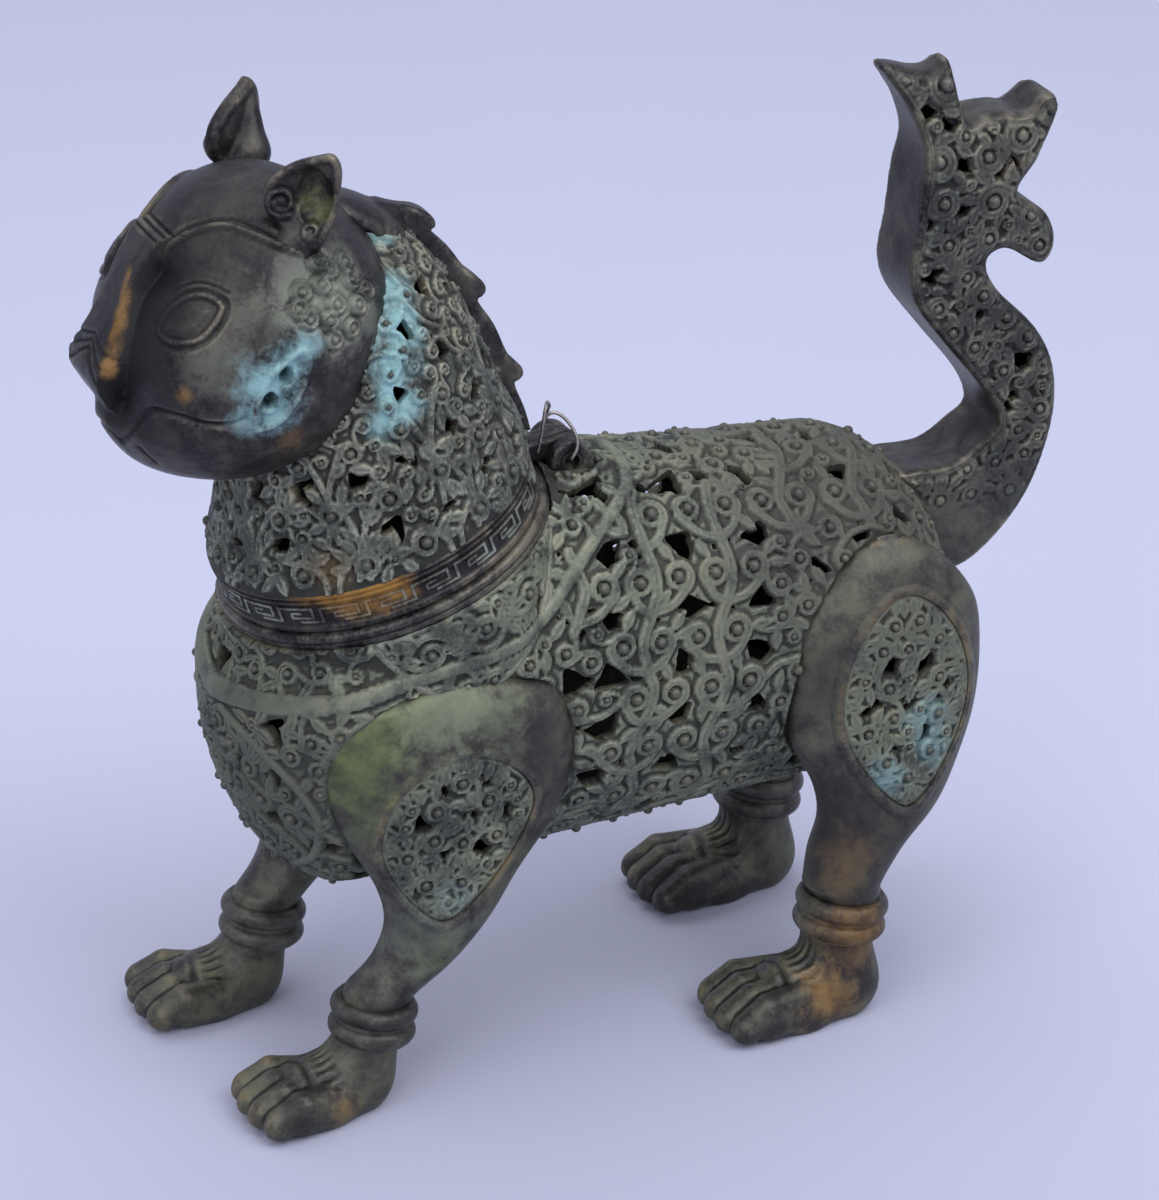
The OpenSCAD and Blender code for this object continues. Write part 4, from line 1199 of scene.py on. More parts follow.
def flank_scrolls(carve, s):
    """Main scrolls of the flanks, on stems that rise between their columns."""
    for side in (1, -1):
        for k in (-4, -2, 0, 2, 4):
            rows = [row for row, (low, high) in enumerate(SCROLL_RUNS)
                    if low <= k <= high or low <= k + 1 <= high]
            climb = np.arange(rows[0] - .6, rows[-1] + .7, .3)
            line = [carve.spot(flank_spot(row, k + .5, side))[0] for row in climb]
            carve.stroke(run([q for q in line if q is not None], 3), s["stem"], s["relief"])
        for row, (low, high) in enumerate(SCROLL_RUNS):
            for k in range(low, high + 1):
                centre, normal = carve.spot(flank_spot(row, k, side))
                stem = k + .5 if k % 2 == 0 else k - .5
                source = carve.spot(flank_spot(row - .5, stem, side))[0]
                if centre is None or source is None:
                    continue
                r = s["scroll"] * carve.rng.uniform(.94, 1.06)
                spin = side if stem > k else -side
                carve.vine(source, centre, normal, r, spin, 1.2, s["relief"], .8 * s["stem"])


STRAP_HALF, STRAP_LOW, STRAP_TALL = [3.6, 3.5, 2.8, 2.3, 2.3, 2.2, 2.2], 1.3, 1.7


def lay_strap(carve, tall):
    """The smooth strap round the base of the neck, and the border of the breast."""
    for side in (1, -1):
        carve.stroke(run(STRAP * [1, side, 1], 6), STRAP_HALF, tall, groove=0, margin=1.0)
        carve.stroke(run(BREAST * [1, side, 1], 6), 1.6, tall, groove=0, margin=.8)


# How far the walls of the body reach past the neck's base and past the legs.
JOINT_LAP, LEG_LAP = .8, 1.5


def make_torso():
    s = sizes()
    x, a = torso_rows(s["grid"]), torso_angles(s["grid"])
    p = body_point(x[:, None] + 0 * a, a[None] + 0 * x[:, None])
    q = to_mouth(p)
    far = np.hypot(q[..., 0], q[..., 1])
    under = ease((q[..., 2] - SEAT_LOW + 17) / 14) * (q[..., 0] > 0)
    drawn = mix(far, np.minimum(far, COLLAR_R + 2.1), under)
    p = from_mouth(q * np.stack([drawn / far, drawn / far, 1 + 0 * far], -1))
    sheet = Sheet(p, True)
    mid = body_section(p[..., 0])[2]
    flip = sheet.face_outwards(p - np.stack([p[..., 0], 0 * mid, mid], -1))
    y, z = np.abs(p[..., 1]), p[..., 2]
    base = base_gap(p)
    legs = np.minimum.reduce([leg_gap(p, h, r) for h in (False, True) for r in (False, True)])
    notch = np.maximum(y - LUG_IN - .2, np.hypot(p[..., 0] - HINGE[0], z - HINGE[2]) - LUG_R - .6)
    notch = np.where(z > mid, notch, 9)
    seat = np.where(q[..., 0] > 0, SEAT_LOW + .2 - q[..., 2], 99)
    cut = np.minimum.reduce([base + JOINT_LAP, legs + LEG_LAP, notch, seat])
    at_hinge = (z > mid) & (np.hypot(y / 13, (p[..., 0] - HINGE[0]) / 11) < 1)
    at_tail = (p[..., 0] < -96) & (y < 17) & (np.abs(z - 147) < 18)
    belly = (np.sin(a)[None] + 0 * mid < -.965) & (np.abs(p[..., 0] + 4) < 90)
    plain = belly | at_hinge | at_tail
    carve = Carving(p, sheet.normals, SEEDS["torso"])
    edge = np.maximum(1.3 - np.abs(base - .4), 1.3 - np.abs(legs - .2))
    carve.cover(np.where(plain, carve.PLAIN, np.where(edge < 0, carve.NO_METAL, edge)))
    lay_strap(carve, STRAP_LOW)
    flank_scrolls(carve, s)
    free = (cut > -2) & ~plain
    for side in (1, -1):
        for row, k in itertools.product(range(6), range(6)):
            place = flank_spot(row + .5, k - .5, side)
            carve.pierce(place, carve.rng.uniform(5.6, 7.6), carve.rng.uniform(0, 2.1))
    carve.scatter(free & (np.minimum(cut, carve.hole.reshape(cut.shape)) > 6), 70, 5.4, 12)
    carve.fill(free, 4.4, 6.0, 1.3, s["relief"])
    carve.fill(free, 3.0, 4.0, 1.2, s["relief"])
    carve.leaves(free, 520, 7.0, s["relief"])
    lay_strap(carve, STRAP_TALL)
    keep = np.minimum(carve.kept(s["ground"]), cut)
    high, pit = carve.relief(plain)
    high = high - (np.maximum(high, 0) + .8) * (1 - ease((legs - .3) / 1.8))
    step = int(math.ceil(len(x) / 5))
    parts = [(k, min(k + step, len(x) - 1)) for k in range(0, len(x) - 1, step)]
    for k, (points, faces, shade) in enumerate(sheet.solid(high, keep, s["wall"], parts, pit)):
        make_piece("torso_openwork_%d" % (k + 1), points, faces, finish("openwork"), "body", ["torso_shell"],
                   "green_openwork", flip, pit=shade)
    make_bosses("torso_bosses", shown_bosses(carve, keep), "body")


FRIEZE_R, FRIEZE_Z, FRIEZE_WAVE = 51.6, -15.0, 6.6


def on_frieze(degrees, z=FRIEZE_Z):
    """A place on the frieze, by its turn about the axis of the seam."""
    v = math.radians(degrees)
    return from_mouth(np.array([FRIEZE_R * math.cos(v), FRIEZE_R * math.sin(v), z]))


def neck_base_grid(gap):
    """Grid of the neck's base, in the frame of the seam and in the frame of the burner."""
    z = np.arange(-46, SEAT_LOW + .05, gap)
    smooth = run(NECK_BASE, 10)
    r = np.interp(z, smooth[:, 0], smooth[:, 1])
    turn = np.linspace(0, 2 * math.pi, int(2 * math.pi * 51 / gap), endpoint=False)
    q = np.stack([r[:, None] * np.cos(turn), r[:, None] * np.sin(turn), z[:, None] + 0 * turn], -1)
    return q, from_mouth(q)


def make_frieze():
    s = sizes()
    q, p = neck_base_grid(s["grid"] * .9)
    sheet = Sheet(p, True)
    flip = sheet.face_outwards(p - from_mouth(q * [0, 0, 1]))
    legs = np.minimum(leg_gap(p, False, False), leg_gap(p, False, True))
    cut = np.minimum(body_gap(p) + .5, legs + LEG_LAP)
    carve = Carving(p, sheet.normals, SEEDS["frieze"])
    lay_strap(carve, STRAP_LOW)
    turn = np.radians(np.arange(-180, 181, 4))
    wave = FRIEZE_Z + FRIEZE_WAVE * np.cos(math.pi * np.degrees(turn) / 20)
    stem = from_mouth(np.stack([FRIEZE_R * np.cos(turn), FRIEZE_R * np.sin(turn), wave], -1))
    carve.stroke(run(stem, 3), 1.35, s["relief"])
    for k in range(18):
        centre, normal = carve.spot(on_frieze(20 * k))
        source = carve.spot(on_frieze(20 * (k - .5)))[0]
        if centre is not None and source is not None:
            carve.vine(source, centre, normal, 4.9, -1 if k % 2 else 1, 1.2, s["relief"], 1.2)
    carve.cover(1.5 - np.abs(q[..., 2] - SEAT_LOW))
    free = cut > -2
    for k in range(36):
        carve.pierce(on_frieze(10 * k + 5, -10.5 if k % 2 else -19.5), 4.0, k)
    carve.fill(free & (q[..., 2] < -23), 4.0, 5.2, 1.2, s["relief"])
    carve.fill(free, 2.8, 3.6, 1.1, s["relief"])
    carve.leaves(free, 120, 5.6, s["relief"])
    lay_strap(carve, STRAP_TALL)
    rail = .3 * bump((q[..., 2] - SEAT_LOW + 1.4) / 1.3)
    high, pit = carve.relief()
    high, pit = np.maximum(high, rail), np.where(rail > 0, 0, pit)
    keep = np.minimum(carve.kept(s["ground"]), cut)
    for points, faces, shade in sheet.solid(high, keep, s["wall"], pit=pit):
        make_piece("neck_frieze", points, faces, finish("openwork"), "body", ["torso_shell"],
                   "green_openwork", flip, pit=shade)
    make_bosses("frieze_bosses", shown_bosses(carve, keep), "body")


def make_fillet():
    """The stem that covers the joint of the neck's base and the body."""
    p = neck_base_grid(.8)[1]
    gap = body_gap(p)
    line = []
    for j in range(0, p.shape[1], 2):
        above = np.flatnonzero(gap[:, j] < 0)
        if len(above) and above[-1] < len(gap) - 1:
            i = above[-1]
            line.append(mix(p[i, j], p[i + 1, j], gap[i, j] / (gap[i, j] - gap[i + 1, j])))
    line = np.array(line)
    back = np.flatnonzero((np.abs(line[:, 1]) < 12.5) & (line[:, 0] < 40))
    if len(back):
        line = np.roll(line, -(back[-1] + 1), axis=0)[:len(line) - len(back)]
    for _ in range(6):
        line[1:-1] = .5 * line[1:-1] + .25 * (line[:-2] + line[2:])
    line = resample(line, 1.2)
    way = unit(line - from_mouth(to_mouth(line) * [0, 0, 1]))
    points, faces = tube(line + way * .2, 1.5)
    make_piece("neck_fillet", points, faces, finish("openwork"), "body", [], "green_openwork")


def make_seat_ring():
    c = COLLAR_R + 1.5
    low, top = SEAT_LOW, -.15
    profile = [(c - 6, low), (c - .9, low), (c - .2, low + .3), (c, low + 1), (c, low + 1.7),
               (c - .55, low + 2.1), (c - .55, low + 2.5), (c, low + 2.9), (c, top - 1.2),
               (c - .4, top - .4), (c - 1.2, top), (c - 6, top)]
    points, faces = lathe(profile, 160)
    make_piece("seat_ring", from_mouth(points), faces, finish("smooth"), "body", ["neck_seat_ring"],
               "dark_bronze", angle=40)


# Limbs and tail

SIDES = [(False, False, "front_left"), (False, True, "front_right"), (True, False, "hind_left"),
         (True, True, "hind_right")]


def place_limb(p, hind, right):
    """From a left limb to its own place: right limbs are mirrored and stepped."""
    p = np.array(p, float)
    if right:
        p[..., 0] += HIND_STEP if hind else FRONT_STEP
        p[..., 1] *= -1
    return p


def leg_grid(hind, gap):
    """Points of a left leg down to its ankle, ring by ring, and the rings themselves."""
    x, y, z = HIND_ANKLE if hind else FRONT_ANKLE
    r = 11.6 if hind else 10.4
    s, c = math.sin(ANKLE_LEAN), math.cos(ANKLE_LEAN)
    ankle = [(x - up * s, y, z + up * c, r, r) for up in np.linspace(ANKLET_H, 0, 12)]
    rings = np.vstack([run(leg_stations(hind), 24), ankle])
    rings = read_at(arc_steps(rings[:, [0, 2, 4]], gap), np.arange(len(rings)), rings)
    lean = ANKLE_LEAN * ease((z + ANKLET_H + 8 - rings[:, 2]) / 10)
    a = np.linspace(0, 2 * math.pi, int(190 / gap), endpoint=False)
    u = rings[:, 3:4] * np.cos(a)
    return np.stack([rings[:, 0:1] + u * np.cos(lean)[:, None], rings[:, 1:2] + rings[:, 4:5] * np.sin(a),
                     rings[:, 2:3] + u * np.sin(lean)[:, None]], -1), rings


def make_legs():
    s = sizes()
    for hind, right, name in SIDES:
        p, rings = leg_grid(hind, 1.05)
        middle = rings[:, None, :3]
        gap = outline_gap(p[..., 0], p[..., 2], panel_outline(hind))
        outer = p[..., 1] > middle[..., 1] - 1
        high = np.where(outer, .7 * bump((gap - 1.5) / 1.8), 0)
        placed = place_limb(p, hind, right)
        sheet = Sheet(placed, True)
        flip = sheet.face_outwards(placed - place_limb(middle + 0 * p, hind, right))
        body = body_gap(placed)
        if not hind:
            body = np.minimum(body, base_gap(placed))
        keep = np.minimum(body + JOINT_LAP, np.where(outer, gap - .1, 9))
        for points, faces, _ in sheet.solid(high, keep, s["wall"]):
            make_piece(name + "_limb", points, faces, finish("limb"), "body", [name + "_leg"],
                       "dark_bronze", flip)


PANEL_GRID = .6


def make_panels():
    s = sizes()
    for k, (hind, right, name) in enumerate(SIDES):
        outline = panel_outline(hind)
        lo, hi = outline.min(0) - 2, outline.max(0) + 2
        x, z = np.meshgrid(*(np.arange(a, b, PANEL_GRID) for a, b in zip(lo, hi)), indexing="ij")
        cx, cy, half, deep = leg_shape(z, hind)
        y = cy + (deep - 1.3) * np.sqrt(np.clip(1 - ((x - cx) / half) ** 2, .02, 1))
        p = place_limb(np.stack([x, y, z], -1), hind, right)
        sheet = Sheet(p, False)
        flip = sheet.face_outwards(np.array([0, -1 if right else 1, 0]) + 0 * p)
        gap = -outline_gap(x, z, outline)
        carve = Carving(p, sheet.normals, SEEDS["panels"] + k)
        carve.cover(1.7 - np.abs(gap - .6))
        depth = np.interp(outline[:, 1], z[0], y[len(x) // 2])
        rim = np.stack([outline[:, 0], depth, outline[:, 1]], -1)
        carve.hold(place_limb(rim, hind, right), 1.6)
        free = gap > 1.5
        px, pz = PANELS[hind][:2]
        for ray in range(7):
            far = 12.5 if ray else 0
            u, v = px + far * math.cos(1.047 * ray), pz + 1.1 * far * math.sin(1.047 * ray)
            depth = np.interp(v, z[0], y[int((u - lo[0]) / PANEL_GRID)])
            carve.pierce(place_limb([u, depth, v], hind, right), carve.rng.uniform(4.4, 5.8), ray)
        carve.fill(free, 4.2, 5.8, 1.3, s["relief"])
        carve.fill(free, 2.7, 3.6, 1.2, s["relief"])
        carve.leaves(free, 80, 6.0, s["relief"])
        high, pit = carve.relief(gap < 1.4)
        high = np.maximum(high, .8 * bump((gap - 1) / 1.3))
        keep = np.minimum(carve.kept(s["ground"]), gap - .15)
        for points, faces, shade in sheet.solid(high, keep, s["wall"] * .9, pit=pit):
            make_piece(name + "_openwork", points, faces, finish("openwork"), "body", [name + "_panel"],
                       "green_openwork", flip, pit=shade)
        make_bosses(name + "_bosses", shown_bosses(carve, keep, .8), "body")


def round_cone(x, y, z, a, b, ra, rb):
    """Distance to a tapering limb with round ends."""
    a, b = np.asarray(a, float), np.asarray(b, float)
    way = b - a
    t = np.clip(((x - a[0]) * way[0] + (y - a[1]) * way[1] + (z - a[2]) * way[2]) / np.dot(way, way), 0, 1)
    gap = np.sqrt((x - a[0] - way[0] * t) ** 2 + (y - a[1] - way[1] * t) ** 2 + (z - a[2] - way[2] * t) ** 2)
    return gap - mix(ra, rb, t)


def ball_gap(x, y, z, c, r):
    """Rough distance to an ellipsoid."""
    k = np.sqrt(((x - c[0]) / r[0]) ** 2 + ((y - c[1]) / r[1]) ** 2 + ((z - c[2]) / r[2]) ** 2)
    return (k - 1) * min(r)


def join(a, b, soft):
    """Union of two distance fields with a rounded joint."""
    h = np.clip(.5 + .5 * (b - a) / soft, 0, 1)
    return b + (a - b) * h - soft * h * (1 - h)


def carve_out(a, b, soft):
    """The first field without the second, with a rounded edge."""
    return -join(-a, b, soft)


def plate(edge, side, soft):
    """Distance to a plate with rounded rims, from those to its outline and to its faces."""
    a, b = edge + soft, side + soft
    return np.minimum(np.maximum(a, b), 0) + np.hypot(np.maximum(a, 0), np.maximum(b, 0)) - soft


def paw_gap(length, tall, root, round_r):
    """Distance to a paw: a round heel under the ankle, a long outer edge and four toes with nails."""

    def gap(x, y, z):
        d = round_cone(x, y, z, (round_r + .4, 0, round_r - 2), (root + .6, 0, 24 * tall),
                       round_r, round_r - .2)
        d = join(d, round_cone(x, y, z, (round_r, 0, 9), (.52 * length, 0, 8 * tall), round_r, 9.5), 7)
        d = join(d, ball_gap(x, y, z, (.5 * length, 0, 5), (14, 15.5, 10 * tall)), 4)
        hair = (np.sin(y * 2.4) * .3 * ease((x - .34 * length) / 6) * ease((.56 * length - x) / 3)
                * ease((z - 8) / 4))
        d = d + hair + .9 * np.exp(-((x - .58 * length - .012 * y * y) / 1.2) ** 2)
        for toe in range(4):
            side = toe - 1.5
            cy, tip = side * 8.3, length - .6 - abs(side) * 1.6
            knuckle, end = (tip - 12.5, .95 * cy, 9.2 * tall ** .5), (tip - 5.2, cy, 5.6)
            one = round_cone(x, y, z, (.5 * length, .75 * cy, 9 * tall), knuckle, 4.4, 5.0)
            one = join(one, round_cone(x, y, z, knuckle, end, 5.0, 5.1), .6)
            one = np.minimum(one, ball_gap(x, y, z, (tip - 1.9, cy, 5.4), (2.2, 2.9, 3.7)))
            d = join(d, one, .7)
        for side in (-1, 1):
            edge = round_cone(x, y, z, (round_r, side * (round_r - 5), 5), (length - 16, side * 11.5, 5.5),
                              5.5, 5.8)
            d = join(d, edge, 2)
        return np.maximum(d, -z)
    return gap


def make_paws():
    for hind, right, name in SIDES:
        length = 57.0 if hind else 49.0
        ankle = HIND_ANKLE if hind else FRONT_ANKLE
        tall, root = ankle[2] / 21, 12 if hind else 5
        field = paw_gap(length, tall, root, 11.4 if hind else 10.2)
        points, faces = nets(field, (-8, -20, -1.2), (length + 3, 20, 34 * tall), .75)
        turn = 0 if hind else math.radians(3)
        c, s = math.cos(turn), math.sin(turn)
        x, y = points[:, 0] * c - points[:, 1] * s, points[:, 0] * s + points[:, 1] * c
        points = np.stack([x + ankle[0] - root, y + ankle[1], np.maximum(points[:, 2], 0)], -1)
        top = ankle[2] + 3 + (points[:, 0] - ankle[0]) * math.sin(ANKLE_LEAN)
        points[:, 2] = np.minimum(points[:, 2], top)
        make_piece(name + "_foot", place_limb(points, hind, right), faces, finish("limb"), "body",
                   [name + "_paw"], "dark_bronze", right)


TAIL = [(-100, 132), (-122, 128), (-136, 134), (-150, 150), (-158, 172), (-158, 191), (-151, 206),
        (-137, 221), (-133, 231), (-140, 234), (-152, 227), (-156.5, 234), (-153, 244), (-143, 252),
        (-149, 261), (-155, 270), (-158.5, 278), (-154, 281), (-147, 276), (-141, 277), (-133.5, 277),
        (-127.5, 275), (-125.5, 281), (-124, 289), (-122, 296), (-117.5, 293.2), (-111.5, 293.6),
        (-104.5, 296), (-99, 296.6), (-103.2, 290), (-107.5, 283), (-112, 270), (-110.5, 255), (-109, 242),
        (-107, 230), (-110, 219), (-121, 204), (-135, 186), (-139, 175), (-133, 170), (-122, 164),
        (-100, 162)]
TAIL_RIM, FRET_LOW, FRET_TOP = 3.2, 168.0, 284.0
TAIL_FRONT = -94
TAIL_HOLES = [(-112.3, 281.6), (-120.1, 276.6), (-123.1, 263.3), (-139.4, 260.9), (-111.5, 246.7),
              (-125.4, 250), (-115.5, 229), (-129.2, 211.8), (-146.5, 196.1), (-143.1, 183.2), (-131, 232)]


def tail_half(z):
    """Half the tail's width at a height."""
    return np.interp(z, [262, 297], [13, 5.2])


def make_tail():
    s = sizes()
    outline = run(TAIL, 4, closed=True)
    low, high = outline.min(0), outline.max(0)
    step = .85
    flat_x, flat_z = np.meshgrid(np.arange(low[0] - 2, high[0] + 2 + step, step),
                                 np.arange(low[1] - 2, high[1] + 2 + step, step), indexing="ij")
    flat = outline_gap(flat_x, flat_z, outline)

    def edge_at(x, z):
        i = np.clip((x - flat_x[0, 0]) / step, 0, flat.shape[0] - 1.001)
        k = np.clip((z - flat_z[0, 0]) / step, 0, flat.shape[1] - 1.001)
        return look_up(flat, i, k)

    def gap(x, y, z):
        edge = edge_at(x, z)
        d = plate(edge, np.abs(y) - tail_half(z), 1.5 + 2.2 * ease((z - 256) / 20))
        window = np.maximum.reduce([edge + TAIL_RIM, FRET_LOW - z, z - FRET_TOP])
        d = carve_out(d, window, .8)
        return np.maximum(d, -(body_gap(np.stack([x, y, z], -1)) + 1))

    points, faces = nets(gap, (low[0] - 2, -14.5, low[1] - 2), (TAIL_FRONT, 14.5, high[1] + 2), .88, 2)
    make_piece("tail_strip", points, faces, finish("smooth"), "body", ["tail_frame"], "dark_bronze", angle=60)
    for right in (False, True):
        side, out = ("right", -1) if right else ("left", 1)
        x, z = np.meshgrid(np.arange(low[0], TAIL_FRONT, PANEL_GRID), np.arange(128, high[1], PANEL_GRID),
                           indexing="ij")
        p = np.stack([x, out * (tail_half(z) + .15), z], -1)
        sheet = Sheet(p, False)
        flip = sheet.face_outwards(np.array([0, out, 0]) + 0 * p)
        edge = np.minimum(-edge_at(x, z) - 1.5, body_gap(p) - 1)
        carve = Carving(p, sheet.normals, SEEDS["tail"] + right)
        carve.hold(p[np.abs(edge) < .4], .6)
        for k, (u, v) in enumerate(TAIL_HOLES):
            carve.pierce((u, out * tail_half(v), v), (6.2, 4.8, 5.4)[k % 3], 1.9 * k)
        free = (edge > 1.5) & (z > 150)
        carve.fill(free & (z > 250), 6.0, 8.5, 1.5, s["relief"])
        carve.fill(free, 4.2, 6.0, 1.3, s["relief"])
        carve.fill(free, 2.6, 3.5, 1.1, s["relief"])
        carve.leaves(free, 90, 6.4, s["relief"])
        keep = np.minimum(carve.kept(math.inf), edge)
        high_at, pit = (v * ease(edge / 2) * ease((z - 142) / 25) for v in carve.relief(deep=.6))
        for points, faces, shade in sheet.solid(high_at, keep, s["wall"] * .8, pit=pit):
            make_piece("tail_openwork_" + side, points, faces, finish("tail"), "body", ["tail_fret_" + side],
                       "green_openwork", flip, pit=shade)


# Lid

def head_table():
    """Radius of the plain head by turn about the upright axis and by elevation."""
    s = run(HEAD_SLICES, 16) * HEAD_R
    z, shift, half, wide = s.T
    turn, rise = np.linspace(0, math.pi, 91), np.radians(np.linspace(-90, 90, 181))
    table = []
    for a in turn:
        c, d = math.cos(a), math.sin(a)
        qa, qb = c * c / half ** 2 + d * d / wide ** 2, -2 * c * shift / half ** 2
        qc = shift ** 2 / half ** 2 - 1
        r = (-qb + np.sqrt(np.maximum(qb * qb - 4 * qa * qc, 0))) / (2 * qa)
        at = np.r_[-math.pi / 2, np.arctan2(z, r), math.pi / 2]
        order = np.argsort(at)
        reach = np.r_[HEAD_R * .96, np.hypot(z, r), HEAD_R * .998]
        table.append(np.interp(rise, at[order], reach[order]))
    return np.array(table)


HEAD_TABLE = head_table()


def head_radius(d):
    """Radius of the plain head in given directions."""
    a = np.arctan2(np.abs(d[..., 1]), d[..., 0]) / math.pi * 90
    b = np.degrees(np.arcsin(np.clip(d[..., 2], -1, 1))) + 90
    return look_up(HEAD_TABLE, np.clip(a, 0, 89.999), np.clip(b, 0, 179.999))


def head_gap(p):
    """Distance outside the plain head, roughly."""
    d = p - HEAD
    r = np.linalg.norm(d, axis=-1)
    return r - head_radius(d / np.maximum(r, 1e-6)[..., None])


# The face, from the middle of the head: ridge of the nose, half widths of its flat and of its foot by
# height, and lines of the left half.
NOSE_PROFILE = np.array([(41.8, -21), (44.8, -15.5), (47.6, -10), (47.4, -5.5), (46.3, -2.5), (37, 15),
                         (27.5, 31.5)])
NOSE_EDGE = np.array([(-20, 9.5), (-11, 11.4), (-5.5, 12), (.8, 10), (5.3, 8.7), (10, 8.4), (17.4, 7.1),
                      (23.5, 7.2), (27, 8.6)])
NOSE_FOOT = np.array([(-20, 11), (-17, 11.4), (-11.4, 13.7), (-2.2, 17.4), (6.1, 15.8), (13.5, 12.5),
                      (18.6, 10.9), (27, 10.8)])
FACE = {
    "brow_top": [(26, 9.2, 28.8), (23.2, 9.9, 31.4), (20.3, 10.7, 33.7), (16.4, 12.6, 35.9),
                 (11.4, 15.7, 37.7), (6.6, 19, 38.2), (2.1, 23.2, 37.2), (-2.3, 27.2, 34.9),
                 (-5.7, 30.1, 32.6), (-9.7, 31.6, 30.7), (-14, 30.6, 30.3)],
    "brow": [(27.2, 10.8, 27.2), (23.8, 11.6, 30.3), (19.7, 13.2, 33.3), (14.7, 16.1, 35.7),
             (9.9, 19.5, 36.8), (5.4, 23.7, 36), (.8, 27.6, 34.3), (-4, 30.7, 32.2), (-8, 32, 30.5)],
    "lid": [(29, 21, 20.6), (25.2, 23.2, 23.2), (21.6, 26, 24.6), (18.3, 29.2, 24.6), (14.5, 33.5, 23.2)],
    "mouth": [(42.7, -1.3, -25.4), (41.6, 6, -26.8), (40, 10, -27.9), (39.6, 16.2, -23.9),
              (38.4, 22.1, -17.4), (36.6, 26, -13.3), (33.5, 30.1, -12.2), (28.9, 34, -13),
              (24, 37.1, -14.5), (17.6, 40.3, -14.6), (13.6, 42, -13.1)],
    "chin": [(37.1, 17.3, -27.7), (35.1, 18.2, -30.2), (33, 18.8, -32.5)],
    "bridge_1": [(25.2, -1, 32.6), (23.8, 8.3, 31.2)], "bridge_2": [(26.8, -1, 30.8), (25.6, 8, 29.6)],
    "bridge_3": [(23.6, -1, 34.2), (22.2, 9.1, 32.5)],
    "tip_1": [(49.5, -1, 3), (43.9, 14.6, -1.3)], "tip_2": [(50.6, -1, 1.1), (44.6, 12.7, -4.4)],
    "tip_3": [(51.7, -1, -.8), (45.1, 10.4, -7.7)],
}
EYE = np.array([(34.1, 24.2, 11.3), (31, 24.3, 16), (25.7, 26.1, 20.4), (21.4, 29.2, 22.1),
                (18.2, 32.8, 21.4), (16.8, 35.3, 19.4), (19.8, 36.6, 15.2), (24.1, 35.5, 10.9),
                (29, 32.3, 9.2), (32.5, 28, 9.4)])
ROSETTES = [(-5.7, 39.7, 21.9), (-15.7, 40.4, 16.8), (-22.7, 34.5, 21.1), (-23, 38, 14.6),
            (-16, 34.6, 25.3), (-12.2, 38.1, 22.6), (-6.3, 43.4, 14.9), (-13.7, 43.4, 7.5),
            (-20, 40.7, 9.1), (-12.8, 33.5, 27.9), (-21.9, 31.2, 25.5), (-12.6, 42.7, 13),
            (-27.1, 33.9, 17), (-3.8, 42.1, 17.9)]
CHEEK_HOLES = [(2, 45.8, -.3), (6.9, 44.6, -7.9)]
POCKET = np.array([(11.1, 43.6, -10.4), (9.3, 45.1, -3.9), (3.8, 46.1, 2.9), (-3.2, 45.5, 6.7),
                   (-4.9, 45.7, 2.2), (-1.4, 45.3, -7.6), (3.3, 43.6, -14.6), (9.8, 42.1, -16.8)])
NOSE_FADE = .16


def line_gap(p, line):
    """Distance of points to a line of the face."""
    line = unit(resample(run(line, 6), .7))
    line = line * head_radius(line)[:, None]
    best = np.full(len(p), 1e9)
    for q in line:
        best = np.minimum(best, ((p - q) ** 2).sum(1))
    return np.sqrt(best)


